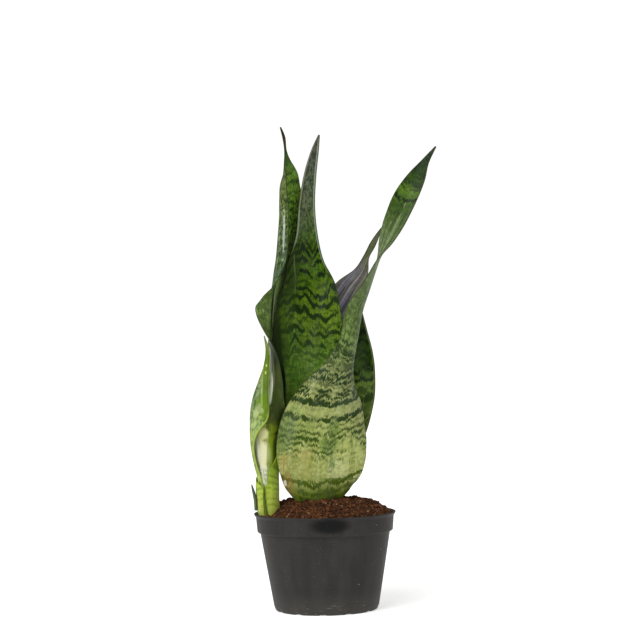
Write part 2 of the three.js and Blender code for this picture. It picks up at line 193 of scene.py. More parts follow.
class Sheet:
    """Adds nodes to one shader tree and links them as they are made."""

    def __init__(self, tree: bpy.types.NodeTree) -> None:
        """Start on a tree."""
        self.tree = tree

    def node(self, kind: str, inputs: dict[Any, Any] | None = None, **settings: Any) -> bpy.types.Node:
        """Add one node.

        Args:
            kind: The node's type.
            inputs: Values or sockets for its inputs, by name or place.
            settings: Properties of the node.

        Returns:
            The node.
        """
        made = self.tree.nodes.new(kind)
        for key, value in settings.items():
            setattr(made, key, value)
        for key, value in (inputs or {}).items():
            self.feed(made.inputs[key], value)
        return made

    def feed(self, target: Socket, value: Any) -> None:
        """Link a socket to an input, or set the input's own value."""
        if isinstance(value, bpy.types.NodeSocket):
            self.tree.links.new(value, target)
        else:
            target.default_value = rgba(value) if target.type == "RGBA" else value

    def math(self, operation: str, *values: Any, clamp: bool = False) -> Socket:
        """Add a Math node and return its result."""
        inputs = dict(enumerate(values))
        return self.node("ShaderNodeMath", inputs, operation=operation, use_clamp=clamp).outputs[0]

    def add(self, first: Any, second: Any) -> Socket:
        """Add two values."""
        return self.math("ADD", first, second)

    def minus(self, first: Any, second: Any) -> Socket:
        """Take the second value from the first."""
        return self.math("SUBTRACT", first, second)

    def times(self, first: Any, second: Any) -> Socket:
        """Multiply two values."""
        return self.math("MULTIPLY", first, second)

    def ratio(self, first: Any, second: Any) -> Socket:
        """Divide the first value by the second."""
        return self.math("DIVIDE", first, second)

    def most(self, first: Any, second: Any, clamp: bool = False) -> Socket:
        """Take the larger of two values."""
        return self.math("MAXIMUM", first, second, clamp=clamp)

    def scaled(self, value: Any, factor: Any, onto: Any) -> Socket:
        """Multiply a value by a factor and add it to another."""
        return self.math("MULTIPLY_ADD", value, factor, onto)

    def swing(self, value: Any, amount: Any, onto: Any = 0.0) -> Socket:
        """Take a value's distance from 0.5, times an amount, and add it to another."""
        return self.scaled(self.minus(value, 0.5), amount, onto)

    def weigh(self, first: Any, share: float, second: Any) -> Socket:
        """Average two values: a share of the first and the rest of the second."""
        return self.scaled(first, share, self.times(second, 1 - share))

    def oval(self, spans: Iterable[tuple[Any, float, float]], power: float = 2.0) -> Socket:
        """Measure how far a place is from the middle of an oval.

        Args:
            spans: For each of the two directions, the place, the oval's middle and its reach.
            power: 2 for a round outline, and less for a pointed one.

        Returns:
            0 in the middle and 1 on the outline.
        """
        offs = (self.ratio(self.minus(value, middle), reach) for value, middle, reach in spans)
        return self.add(*(self.math("POWER", self.math("ABSOLUTE", off), power) for off in offs))

    def mix(self, share: Any, first: Any, second: Any, blend: str = "MIX") -> Socket:
        """Mix two colours.

        Args:
            share: How much of the second colour shows.
            first: The colour below, as a socket or six hex digits.
            second: The colour above, as a socket or six hex digits.
            blend: How the second lies on the first.

        Returns:
            The mixed colour.
        """
        inputs = {0: share, 6: first, 7: second}
        return self.node("ShaderNodeMix", inputs, data_type="RGBA", blend_type=blend).outputs[2]

    def step(self, value: Any, low: Any, high: Any, start: float = 0.0, end: float = 1.0) -> Socket:
        """Go smoothly from start to end while value goes from low to high."""
        inputs = dict(enumerate((value, low, high, start, end)))
        return self.node("ShaderNodeMapRange", inputs, interpolation_type="SMOOTHSTEP").outputs[0]

    def ramp(self, value: Any, stops: Sequence[tuple[float, str | Triple]]) -> Socket:
        """Add a colour ramp.

        Args:
            value: What is looked up.
            stops: Places from 0 to 1 and their colours.

        Returns:
            The colour.
        """
        made = self.node("ShaderNodeValToRGB", {0: value})
        elements = made.color_ramp.elements
        while len(elements) < len(stops):
            elements.new(1.0)
        for element, (place, colour) in zip(elements, stops):
            element.position = place
            element.color = rgba(colour)
        return made.outputs[0]

    def noise(self, vector: Any, lumps: Lumps) -> Socket:
        """Add a noise and return its value, mostly between 0.3 and 0.7."""
        sizes = (lumps.x, lumps.y, lumps.z)
        scaled = self.node("ShaderNodeVectorMath", {0: vector, 1: sizes}, operation="DIVIDE").outputs[0]
        moved = self.node("ShaderNodeVectorMath", {0: scaled, 1: lumps.shift}, operation="ADD").outputs[0]
        inputs = {"Vector": moved, "Scale": 1.0, "Detail": lumps.detail, "Roughness": lumps.rough}
        return self.node("ShaderNodeTexNoise", inputs).outputs["Fac"]

    def split(self, vector: Any) -> tuple[Socket, Socket, Socket]:
        """Take a vector apart."""
        made = self.node("ShaderNodeSeparateXYZ", {0: vector})
        return made.outputs[0], made.outputs[1], made.outputs[2]

    def join(self, x: Any, y: Any, z: Any) -> Socket:
        """Put a vector together."""
        return self.node("ShaderNodeCombineXYZ", {0: x, 1: y, 2: z}).outputs[0]

    def attribute(self, name: str, output: str = "Vector") -> Socket:
        """Read an attribute of the mesh."""
        return self.node("ShaderNodeAttribute", attribute_name=name).outputs[output]

    def place(self) -> Socket:
        """Read the position on the object, in metres."""
        return self.node("ShaderNodeTexCoord").outputs["Object"]


def node_group(
    name: str, inputs: Iterable[tuple[str, str, float]], outputs: Iterable[str],
    wire: Callable[[Sheet, Any, Any], None],
) -> bpy.types.NodeTree:
    """Make a shader node group once, and find it again later.

    Args:
        name: The group's name.
        inputs: Name, socket kind and starting value of each input. A vector has no starting value of its own.
        outputs: Name of each output, which is a number.
        wire: Fills the group, given its sheet, its inputs and its outputs.

    Returns:
        The group.
    """
    found = bpy.data.node_groups.get(name)
    if found:
        return found
    tree = bpy.data.node_groups.new(name, "ShaderNodeTree")
    for label, kind, value in inputs:
        made = tree.interface.new_socket(name=label, in_out="INPUT", socket_type=kind)
        if kind == FLOAT:
            made.default_value = value
    for label in outputs:
        tree.interface.new_socket(name=label, in_out="OUTPUT", socket_type=FLOAT)
    sheet = Sheet(tree)
    wire(sheet, sheet.node("NodeGroupInput").outputs, sheet.node("NodeGroupOutput").inputs)
    return tree


# Noises on a leaf: sizes across it and along it in mm, and in the third direction, which tells leaves apart.
WANDER = Lumps(13.0, 34.0, 10.0, 1.5)
RIPPLE = Lumps(4.6, 13.0, 10.0)
TEETH = Lumps(0.95, 9.0, 10.0, 3.0, 0.6)
UNEVEN = Lumps(9.0, 16.0, 10.0, shift=(3.0, 5.0, 0.0))
GHOSTS = Lumps(7.0, 3.1, 10.0, 3.0, 0.62, (0.0, 9.0, 2.0))
SPOTS = Lumps(2.0, 4.4, 10.0, 2.0, 0.62, (5.0, 2.0, 7.0))
FINE_FIBRES = Lumps(0.55, 42.0, 1.0, 2.0, 0.55)
BROAD_FIBRES = Lumps(2.6, 75.0, 1.0, shift=(4.0, 1.0, 0.0))
BLOTCHES = Lumps(8.0, 19.0, 1.0, 3.0, 0.6, (9.0, 2.0, 0.0))
WAX_CLOUDS = Lumps(16.0, 48.0, 1.0, 3.0, 0.55, (1.0, 8.0, 0.0))
WAX_GRAIN = Lumps(0.7, 1.6, 1.0, 2.0, 0.7)
PITS = Lumps(0.42, 0.8, 1.0, 2.0, 0.6)

# Where noises are cut: low, high, and the values there if they are not 0 and 1.
BAND_WIDTHS = (0.3, 0.7, 0.7, 1.3)
BAND_GAPS = (0.34, 0.48, 0.35, 1.0)
GHOST_EDGE = (0.5, 0.62)
SPOT_EDGE = (0.46, 0.58)
BLOTCH_EDGE = (0.32, 0.68)
WAX_EDGE = (0.44, 0.72)
SPECK_EDGE = (0.0, 0.06)

# How wide a zigzag is in mm, how much two noises bend it, and how far apart seeds and faces lie in a noise.
ZIGZAG_WIDTH = 5.6
ZIGZAG_BENDS = (16.0, 3.0)
BAND_SEEDS = 100.0
BAND_FACES = 7.7
FIBRE_FACES = 31.0

# Shares of one noise in another.
TEETH_IN_GHOSTS = 0.6
FINE_IN_STREAKS = 0.45
GRAIN_IN_WAX = 0.22
PITS_IN_RELIEF = 0.25


def wire_cross_bands(sheet: Sheet, given: Any, out: Any) -> None:
    """Fill the group that draws a leaf's jagged cross bands.

    Place holds across, along and face; Bands holds the running band number, the gap between bands and half a
    band's width. The edges are broken up by streaks that run along the leaf, as its fibres do.
    """
    across, along, face = sheet.split(given["Place"])
    number, gap, half = sheet.split(given["Bands"])
    seed = sheet.add(given["Seed"], sheet.times(face, BAND_FACES))
    flat = sheet.join(across, along, sheet.times(seed, BAND_SEEDS))
    wander, ripple, teeth, uneven = (sheet.noise(flat, lumps) for lumps in (WANDER, RIPPLE, TEETH, UNEVEN))
    bent = sheet.scaled(wander, ZIGZAG_BENDS[0], sheet.scaled(ripple, ZIGZAG_BENDS[1], across))
    zigzag = sheet.ratio(sheet.math("PINGPONG", bent, ZIGZAG_WIDTH), ZIGZAG_WIDTH)
    shift: Any = 0.0
    for dial, value in (("Wander", wander), ("Ripple", ripple), ("Teeth", teeth), ("Zigzag", zigzag)):
        shift = sheet.swing(value, given[dial], shift)
    count = sheet.add(number, sheet.ratio(shift, gap))
    off = sheet.math("ABSOLUTE", sheet.minus(sheet.math("FRACT", sheet.add(count, 0.5)), 0.5))
    reach = sheet.times(half, sheet.step(uneven, *BAND_WIDTHS))
    soft = sheet.times(given["Soft"], 0.5)
    mask = sheet.step(sheet.times(off, gap), sheet.add(reach, soft), sheet.minus(reach, soft))
    sheet.feed(out["Band"], sheet.times(mask, sheet.step(uneven, *BAND_GAPS)))
    ghost = sheet.swing(teeth, TEETH_IN_GHOSTS, sheet.noise(flat, GHOSTS))
    sheet.feed(out["Ghost"], sheet.step(ghost, *GHOST_EDGE))
    sheet.feed(out["Mottle"], sheet.step(sheet.noise(flat, SPOTS), *SPOT_EDGE))


def wire_fibres(sheet: Sheet, given: Any, out: Any) -> None:
    """Fill the group that gives a leaf its long fine streaks, soft blotches and a waxy bloom."""
    across, along, face = sheet.split(given["Place"])
    flat = sheet.join(across, along, sheet.scaled(face, FIBRE_FACES, given["Seed"]))
    fine = sheet.noise(flat, FINE_FIBRES)
    sheet.feed(out["Streak"], sheet.weigh(fine, FINE_IN_STREAKS, sheet.noise(flat, BROAD_FIBRES)))
    sheet.feed(out["Blotch"], sheet.step(sheet.noise(flat, BLOTCHES), *BLOTCH_EDGE))
    veil = sheet.swing(sheet.noise(flat, WAX_GRAIN), GRAIN_IN_WAX, sheet.noise(flat, WAX_CLOUDS))
    sheet.feed(out["Bloom"], sheet.step(veil, *WAX_EDGE))
    sheet.feed(out["Relief"], sheet.weigh(sheet.noise(flat, PITS), PITS_IN_RELIEF, fine))


def wire_specks(sheet: Sheet, given: Any, out: Any) -> None:
    """Fill the group that scatters small round specks over a surface: soil dust, grit or pale dots."""
    cells = sheet.node("ShaderNodeTexVoronoi", {"Vector": given["Place"], "Scale": given["Density"]})
    chance = sheet.split(cells.outputs["Color"])[0]
    dot = sheet.step(sheet.minus(given["Size"], cells.outputs["Distance"]), *SPECK_EDGE)
    sheet.feed(out["Speck"], sheet.times(dot, sheet.math("LESS_THAN", chance, given["Share"])))


def cross_bands() -> bpy.types.NodeTree:
    """The shared group of jagged cross bands."""
    dials = [("Place", VECTOR, 0), ("Bands", VECTOR, 0), ("Seed", FLOAT, 0), ("Wander", FLOAT, 9),
             ("Ripple", FLOAT, 8), ("Teeth", FLOAT, 9), ("Zigzag", FLOAT, 0), ("Soft", FLOAT, 1.2)]
    return node_group("leaf cross bands", dials, ("Band", "Ghost", "Mottle"), wire_cross_bands)


def fibres() -> bpy.types.NodeTree:
    """The shared group of streaks, blotches, bloom and relief."""
    dials = [("Place", VECTOR, 0), ("Seed", FLOAT, 0)]
    return node_group("leaf fibres", dials, ("Streak", "Blotch", "Bloom", "Relief"), wire_fibres)


def specks() -> bpy.types.NodeTree:
    """The shared group of scattered specks."""
    dials = [("Place", VECTOR, 0), ("Density", FLOAT, 200), ("Size", FLOAT, 0.3), ("Share", FLOAT, 0.2)]
    return node_group("scattered specks", dials, ("Speck",), wire_specks)


class Finish:
    """A material with one Principled shader, and the sheet that its nodes go on."""

    def __init__(self, name: str, **fixed: Any) -> None:
        """Start the material.

        Args:
            name: The material's name.
            fixed: Values of the shader that are the same all over, with _ for a space.
        """
        self.material = bpy.data.materials.new(name)
        self.material.use_nodes = True
        self.sheet = Sheet(self.material.node_tree)
        self.shader = self.material.node_tree.nodes["Principled BSDF"]
        for key, value in fixed.items():
            self.sheet.feed(self.shader.inputs[key.replace("_", " ")], value)

    def use(self, tree: bpy.types.NodeTree, **inputs: Any) -> Any:
        """Place a shared group and return its outputs."""
        return self.sheet.node("ShaderNodeGroup", inputs, node_tree=tree).outputs

    def specked(self, place: Socket, density: float, size: float, share: float) -> Socket:
        """Scatter specks: how close their cells lie, how large they are, and how many cells have one."""
        return self.use(specks(), Place=place, Density=density, Size=size, Share=share)["Speck"]

    def dress(self, colour: Any, rough: Any, height: Any = None, depth: float = 0.0002) -> bpy.types.Material:
        """Feed the shader.

        Args:
            colour: The base colour.
            rough: The roughness.
            height: The relief from 0 to 1, if the finish has any.
            depth: How deep the relief is, in metres.

        Returns:
            The material.
        """
        self.sheet.feed(self.shader.inputs["Base Color"], colour)
        self.sheet.feed(self.shader.inputs["Roughness"], rough)
        if height is not None:
            bump = self.sheet.node("ShaderNodeBump", {"Height": height, "Distance": depth, "Strength": 1.0})
            self.sheet.feed(self.shader.inputs["Normal"], bump.outputs[0])
        return self.material


# ------------------------------------------------------------------ leaves

# What is noted on every point of a leaf: its place across, along and through it; band number, gap and half
# width; and band strength, distance from the margin and height.
LEAF_NOTES = ("leaf_place", "leaf_bands", "leaf_tone")

BAND_DIALS = ("seed", "wander", "ripple", "teeth", "zigzag", "soft")

# Bending a leaf: the reach of a tangent in stations, the smallest half width in mm, the largest share of a
# rounded margin, the curl in radians that counts as none, and how near points are that become one, in metres.
TANGENT_STEP = 0.02
NARROWEST_HALF = 0.1
WIDEST_EDGE = 0.45
STRAIGHT = 1e-5
WELD = 1e-7

# Laying its bands: heights above every leaf, how much of an arch fades out, the gap beyond the outermost
# bands in mm, and the part of a gap in which one band's values change to the next one's.
ABOVE_ALL_LEAVES = (900.0, 901.0)
FLATTENING = 0.8
OUTER_GAP = 30.0
BAND_BLEND = (0.3, 0.7)

# How the finishes of all leaves are mixed.
PATCH_RAG = 2.2
PATCH_EDGE = (1.25, 0.55)
ROUND, POINTED = 2.0, 1.5
FACE_EDGE = (0.4, 0.6)
BLOTCH_COVER = 0.16
STREAK_SPAN = (0.36, 0.64)
MARGIN_COVER = 0.85
MARGIN_CORE = 0.35
BLOOM_ROUGHNESS = 0.14
ROUGH_SPAN = (0.3, 0.7)
ROUGH_BELOW, ROUGH_ABOVE = 0.05, 0.06
LEAF_RELIEF = 0.00035


@dataclass(frozen=True)
class Tones:
    """Colours of one face of a leaf, from foot to tip: height in mm, pale ground, dark band."""

    stops: tuple[tuple[float, str, str], ...]


@dataclass(frozen=True)
class Patch:
    """A spot or stripe on a leaf, some of them painted highlights and painted shade: where it is, how large,
    how strongly it covers, and whether bands cross it.

    Across is counted from the midrib, or from the left (rim -1) or right (rim 1) margin inwards.
    Tall and wide are its reach from the middle.
    """

    height: float
    across: float
    tall: float
    wide: float
    colour: str
    cover: float = 0.8
    ragged: float = 0.5
    face: int = 0
    under: bool = False
    rim: int = 0


@dataclass(frozen=True)
class LeafSkin:
    """The finish of one leaf.

    The arch says how far bands hang down, in mm, at places from -1 at the left margin to 1 at the right one.
    Mottle gives strengths at heights. Bands lie level below the first height of level_below and square across
    the leaf above the second. The arch fades out between the two heights of flat_above.
    """

    outer: Tones
    inner: Tones
    bands: tuple[BandMark, ...]
    seed: float
    arch: tuple[tuple[float, float], ...] = ((-1, -5), (0, 0), (1, -5))
    wander: float = 9.0
    ripple: float = 8.0
    teeth: float = 9.0
    zigzag: float = 0.0
    soft: float = 1.2
    mottle: tuple[tuple[float, float], ...] = ()
    streaks: float = 0.13
    ghost: float = 0.25
    bloom: float = 0.25
    bloom_colour: str = "b7bfae"
    margin: str = "3a3a20"
    margin_width: float = 0.8
    rough: float = 0.42
    shine: float = 0.08
    level_below: tuple[float, float] = (0.0, 1.0)
    flat_above: tuple[float, float] = ABOVE_ALL_LEAVES
    patches: tuple[Patch, ...] = ()


def rhythm(
    start: float, end: float, gap: float, half: float, strength: float, seed: int,
) -> tuple[BandMark, ...]:
    """Space bands unevenly up a leaf.

    Args:
        start: Height of the first band, in mm.
        end: No band is above this.
        gap: The usual distance between bands.
        half: Half of a band's usual width.
        strength: How dark the bands usually are.
        seed: Start of the random draw.

    Returns:
        Height, half width and strength of each band.
    """
    draw = random.Random(seed)
    made: list[BandMark] = []
    height = start
    while height < end:
        made.append((height, half * draw.uniform(0.6, 1.4), strength * draw.uniform(0.6, 1.1)))
        height += gap * draw.uniform(0.6, 1.4)
    return tuple(made)


@dataclass(frozen=True)
class RowFrame:
    """One cross-section of a leaf, in mm."""

    point: Vector
    side: Vector
    inner: Vector
    half: float
    curl: tuple[float, float]
    share: float
    midrib: float
    along: float


@dataclass(frozen=True)
class Whereabouts:
    """Where a shaded point lies on its leaf, in mm, and the noises that break up the edge of a patch."""

    height: Socket
    across: Socket
    margin: Socket
    faces: tuple[Socket, Socket]
    fine: Socket
    coarse: Socket


@dataclass
class Leaf:
    """One leaf, bent along its midrib and rolled across, from the same stations as the part's solid.

    A station gives height, x and y of the midrib, half of the width along the curve, the twist, the curl of
    the left and right half towards the inner face, and how much of the left half there is.
    """

    name: str
    slot: str
    stations: tuple[Station, ...]
    base: float
    tip: float
    skin: LeafSkin
    rows: int = 260
    strips: int = 48
    cap: int = 4
    frames: list[RowFrame] = field(default_factory=list)

    def value(self, column: int, s: float) -> float:
        """Read a station column on a smooth curve.

        Args:
            column: Which value of the stations.
            s: The place, counted in stations.

        Returns:
            The value there.
        """
        last = len(self.stations) - 1
        i = min(int(s), last - 1)
        f = s - i
        a, b, c, d = (self.stations[min(max(k, 0), last)][column] for k in (i - 1, i, i + 1, i + 2))
        return b + 0.5 * f * (c - a + f * (2 * a - 5 * b + 4 * c - d + f * (3 * (b - c) + d - a)))

    def spine(self, s: float) -> Vector:
        """The midrib's position at s."""
        return Vector((self.value(1, s), self.value(2, s), self.value(0, s)))

    def frame_at(self, s: float, share_up: float, along: float) -> RowFrame:
        """Work out one cross-section.

        Args:
            s: The place, counted in stations.
            share_up: The place as a share of the whole leaf.
            along: The length of midrib below it.

        Returns:
            The cross-section.
        """
        last = len(self.stations) - 1
        ahead, behind = self.spine(min(s + TANGENT_STEP, last)), self.spine(max(s - TANGENT_STEP, 0))
        forward = (ahead - behind).normalized() if s > 0 else Vector((0, 0, 1))
        u = Vector((forward.z, 0, -forward.x)).normalized()
        v = forward.cross(u)
        twist = math.radians(self.value(4, s))
        return RowFrame(
            point=self.spine(s),
            side=u * math.cos(twist) + v * math.sin(twist),
            inner=v * math.cos(twist) - u * math.sin(twist),
            half=self.value(3, s),
            curl=(math.radians(self.value(5, s)), math.radians(self.value(6, s))),
            share=self.value(7, s) if len(self.stations[0]) > 7 else 1.0,
            midrib=self.base + (self.tip - self.base) * share_up,
            along=along,
        )

    def lay_out(self) -> None:
        """Work out every cross-section from foot to tip."""
        last = len(self.stations) - 1
        along, before = 0.0, self.spine(0)
        for row in range(self.rows + 1):
            s = last * row / self.rows
            here = self.spine(s)
            along += (here - before).length
            before = here
            self.frames.append(self.frame_at(s, row / self.rows, along))

    def section(self, k: int, half: float) -> tuple[float, float]:
        """Walk round a cross-section: outer face, right margin, inner face, left margin.

        Args:
            k: The step round the section.
            half: Half of the leaf's width there.

        Returns:
            The place across, from -1 to 1, and through the thickness, from -1 outside to 1 inside.
        """
        edge = min(0.5 * LEAF_EDGE / max(half, NARROWEST_HALF), WIDEST_EDGE)
        flat = 1 - edge
        side = self.strips + self.cap
        k, back = k % (2 * side), False
        if k >= side:
            k, back = k - side, True
        if k <= self.strips:
            across, depth = flat * (-1 + 2 * k / self.strips), -1.0
        else:
            angle = math.pi * (k - self.strips) / self.cap
            across, depth = flat + edge * math.sin(angle), -math.cos(angle)
        return (-across, -depth) if back else (across, depth)

    def point(self, row: RowFrame, across: float, depth: float) -> Vector:
        """Place a point of the leaf.

        Args:
            row: The cross-section.
            across: From -1 at the left margin to 1 at the right one.
            depth: From -1 on the outer face to 1 on the inner face.

        Returns:
            The position in mm.
        """
        sign = -1 if across < 0 else 1
        curl = row.curl[0 if across < 0 else 1]
        reached = abs(across) * (row.share if across < 0 else 1.0)
        reach, bend = reached * row.half, curl * reached
        straight = abs(bend) < STRAIGHT
        sideways = reach if straight else reach * math.sin(bend) / bend
        inwards = 0.0 if straight else reach * (1 - math.cos(bend)) / bend
        normal = row.inner * math.cos(bend) - row.side * (sign * math.sin(bend))
        thick = LEAF_EDGE + (row.midrib - LEAF_EDGE) * (1 - across * across)
        return row.point + row.side * (sign * sideways) + row.inner * inwards + normal * (depth * thick / 2)

    def band_table(self) -> list[BandMark]:
        """The bands with one more beyond each end, so that every point lies between two."""
        bands = self.skin.bands
        return [(bands[0][0] - OUTER_GAP, 1.0, 0.0), *bands, (bands[-1][0] + OUTER_GAP, 1.0, 0.0)]

    def band_at(self, marks: list[BandMark], height: float) -> tuple[float, float, float, float]:
        """Find a height among the bands.

        Args:
            marks: The bands, from the lowest up.
            height: The height in mm.

        Returns:
            The running band number, the gap there, half the width of a band, and its strength.
        """
        height = min(max(height, marks[0][0]), marks[-1][0])
        i = max(k for k in range(len(marks) - 1) if marks[k][0] <= height or k == 0)
        low, high = marks[i], marks[i + 1]
        gap = high[0] - low[0]
        share = (height - low[0]) / gap
        blend = ease(*BAND_BLEND, share)
        return i + share, gap, low[1] + (high[1] - low[1]) * blend, low[2] + (high[2] - low[2]) * blend

    def lifted(self, across: float) -> float:
        """Read how far the bands dip or rise across the leaf.

        Args:
            across: From -1 at the left margin to 1 at the right one.

        Returns:
            The lift in mm. Bands hang lower where it is above zero.
        """
        arch = self.skin.arch
        i = max(k for k in range(len(arch) - 1) if arch[k][0] <= across or k == 0)
        (low, start), (high, end) = arch[i], arch[i + 1]
        share = min(max((across - low) / (high - low), 0.0), 1.0)
        return start + (end - start) * (share + ease(0, 1, share)) / 2

    def mesh(self) -> bmesh.types.BMesh:
        """Bend a grid into the leaf and note on every point where it lies.

        Returns:
            The closed leaf, in metres.
        """
        self.lay_out()
        marks = self.band_table()
        loop = 2 * (self.strips + self.cap)
        bm = bmesh.new()
        layers = bm.verts.layers.float_vector
        place, bands, tone = (layers.new(name) for name in LEAF_NOTES)
        bmesh.ops.create_grid(bm, x_segments=loop, y_segments=self.rows, size=1.0)
        top, seam = [], []
        for vert in bm.verts:
            k = round((vert.co.x + 1) / 2 * loop)
            number = round((vert.co.y + 1) / 2 * self.rows)
            row = self.frames[number]
            across, depth = self.section(k, row.half)
            vert.co = self.point(row, across, depth) * MM
            share = row.share if across < 0 else 1.0
            upright = ease(*self.skin.level_below, row.point.z)
            height = row.point.z * upright + vert.co.z / MM * (1 - upright)
            height += self.lifted(across) * (1 - FLATTENING * ease(*self.skin.flat_above, row.point.z))
            count, gap, half, strength = self.band_at(marks, height)
            vert[place] = (across * share * row.half, row.along, (depth + 1) / 2)
            vert[bands] = (count, gap, half)
            vert[tone] = (strength, (1 - abs(across)) * share * row.half, row.point.z)
            if number == self.rows:
                top.append(vert)
            if k in (0, loop):
                seam.append(vert)
        tip = sum((v.co for v in top), Vector()) / len(top)
        bmesh.ops.remove_doubles(bm, verts=seam, dist=WELD)
        bmesh.ops.pointmerge(bm, verts=[v for v in top if v.is_valid], merge_co=tip)
        bmesh.ops.holes_fill(bm, edges=[edge for edge in bm.edges if edge.is_boundary], sides=0)
        bmesh.ops.recalc_face_normals(bm, faces=bm.faces)
        return bm

    def share_of(self, height: float) -> float:
        """Turn a height in mm into a share of the leaf."""
        low, high = self.stations[0][0], self.stations[-1][0]
        return (height - low) / (high - low)

    def ground(self, sheet: Sheet, tones: Tones, share: Socket) -> list[Socket]:
        """Look up the pale and the dark colour of one face by height.

        Args:
            sheet: Where the nodes go.
            tones: The face's colours.
            share: The height as a share of the leaf.

        Returns:
            The pale ground and the dark band colour.
        """
        spots = [(self.share_of(height), *colours) for height, *colours in tones.stops]
        return [sheet.ramp(share, [(spot[0], spot[which]) for spot in spots]) for which in (1, 2)]

    def patch_mask(self, sheet: Sheet, patch: Patch, spot: Whereabouts) -> Socket:
        """Draw where a patch lies.

        Args:
            sheet: Where the nodes go.
            patch: The patch.
            spot: Where the shaded point lies.

        Returns:
            The mask, from 0 to the patch's cover.
        """
        rag, power = (spot.coarse, POINTED) if patch.ragged >= 1 else (spot.fine, ROUND)
        aside = spot.margin if patch.rim else spot.across
        off = sheet.oval(((spot.height, patch.height, patch.tall), (aside, patch.across, patch.wide)), power)
        mask = sheet.step(sheet.swing(rag, PATCH_RAG * patch.ragged, off), *PATCH_EDGE, 0.0, patch.cover)
        side = spot.faces[patch.face]
        if patch.rim:
            half = sheet.math("GREATER_THAN", sheet.times(spot.across, float(patch.rim)), 0.0)
            side = sheet.times(side, half)
        return sheet.times(mask, side)

    def patched(self, sheet: Sheet, colour: Socket, spot: Whereabouts, under: bool) -> Socket:
        """Lay the leaf's patches over a colour.

        Args:
            sheet: Where the nodes go.
            colour: The colour so far.
            spot: Where the shaded point lies.
            under: Whether these are the patches below the bands or those above.

        Returns:
            The colour with its patches.
        """
        for patch in self.skin.patches:
            if patch.under == under:
                colour = sheet.mix(self.patch_mask(sheet, patch, spot), colour, patch.colour)
        return colour

    def finish(self) -> bpy.types.Material:
        """Make the leaf's material.

        Returns:
            The material.
        """
        skin = self.skin
        made = Finish(self.name + " skin", Specular_IOR_Level=skin.shine)
        sheet = made.sheet
        place, bands, tone = (sheet.attribute(name) for name in LEAF_NOTES)
        across, _, face = sheet.split(place)
        strength, margin, height = sheet.split(tone)
        dials = {dial.title(): getattr(skin, dial) for dial in BAND_DIALS}
        band = made.use(cross_bands(), Place=place, Bands=bands, **dials)
        grown = made.use(fibres(), Place=place, Seed=skin.seed)
        streak, blotch, bloom = grown["Streak"], grown["Blotch"], grown["Bloom"]
        low, high = self.stations[0][0], self.stations[-1][0]
        share = sheet.ratio(sheet.minus(height, low), high - low)
        outside, inside = sheet.step(face, *reversed(FACE_EDGE)), sheet.step(face, *FACE_EDGE)
        grounds = zip(self.ground(sheet, skin.outer, share), self.ground(sheet, skin.inner, share))
        pale, dark = (sheet.mix(inside, outer, inner) for outer, inner in grounds)
        spot = Whereabouts(height, across, margin, (outside, inside), streak, blotch)
        pale = self.patched(sheet, pale, spot, under=True)
        mask = sheet.most(sheet.times(band["Band"], strength), sheet.times(band["Ghost"], skin.ghost))
        if skin.mottle:
            amount = sheet.ramp(share, [(self.share_of(up), (level,) * 3) for up, level in skin.mottle])
            mask = sheet.most(mask, sheet.times(band["Mottle"], amount))
        colour = sheet.mix(sheet.math("MINIMUM", mask, 1.0), pale, dark)
        colour = sheet.mix(sheet.times(blotch, BLOTCH_COVER), colour, dark)
        lift = sheet.step(streak, *STREAK_SPAN, 1 - skin.streaks, 1 + skin.streaks)
        colour = sheet.mix(1.0, colour, sheet.join(lift, lift, sheet.times(lift, lift)), "MULTIPLY")
        colour = sheet.mix(sheet.times(bloom, skin.bloom), colour, skin.bloom_colour)
        colour = self.patched(sheet, colour, spot, under=False)
        line = sheet.step(margin, skin.margin_width, skin.margin_width * MARGIN_CORE)
        colour = sheet.mix(sheet.times(line, MARGIN_COVER), colour, skin.margin)
        rough = sheet.step(streak, *ROUGH_SPAN, skin.rough - ROUGH_BELOW, skin.rough + ROUGH_ABOVE)
        return made.dress(colour, sheet.scaled(bloom, BLOOM_ROUGHNESS, rough), grown["Relief"], LEAF_RELIEF)

    def build(self) -> bpy.types.Object:
        """Make and seat the leaf."""
        return seat(finished(self.name + "_blade", self.mesh(), self.finish()), self.slot, self.name)


STATIONS_FRONT: tuple[Station, ...] = (
    (CROWN_TOP, -4, -9, 10, 0, 50, 50),
    (82, -4, -9.5, 11.5, 0, 50, 50),
    (90, -4.4, -11, 20, 0, 38, 42),
    (98, -4.6, -13, 27.6, 0, 36, 38),
    (107, -4.6, -15, 33.2, 0, 35, 34),
    (118, -3.6, -17, 37.2, 0, 28, 30),
    (131, -1.8, -18.2, 39.2, 0, 20, 32),
    (143, 0.6, -18.9, 39.6, 1, 14, 40),
    (156, 4, -19.6, 38.6, 6, 16, 44),
    (170, 9, -20.5, 35.2, 16, 30, 47),
    (186, 15.8, -22.8, 29.6, 32, 48, 56),
    (204, 22, -22.4, 21, 50, 66, 66),
    (224, 28, -18.8, 16, 64, 74, 74),
    (250, 33.3, -15, 17.4, 68, 52, 56),
    (272, 41.6, -14, 14, 77, 28, 34),
    (293, 49.6, -14, 11.6, 89, 14, 16),
    (308, 56.8, -14, 11.2, 120, 16, 16),
    (326, 65, -14, 11, 148, 24, 24),
    (344, 73.4, -13, 11.2, 156, 26, 26),
    (361, 82.8, -12, 8.4, 160, 24, 24),
    (375, 90.6, -11, 3.6, 160, 16, 16),
    (388, 99.8, -10, 0.7, 160, 5, 5),
)
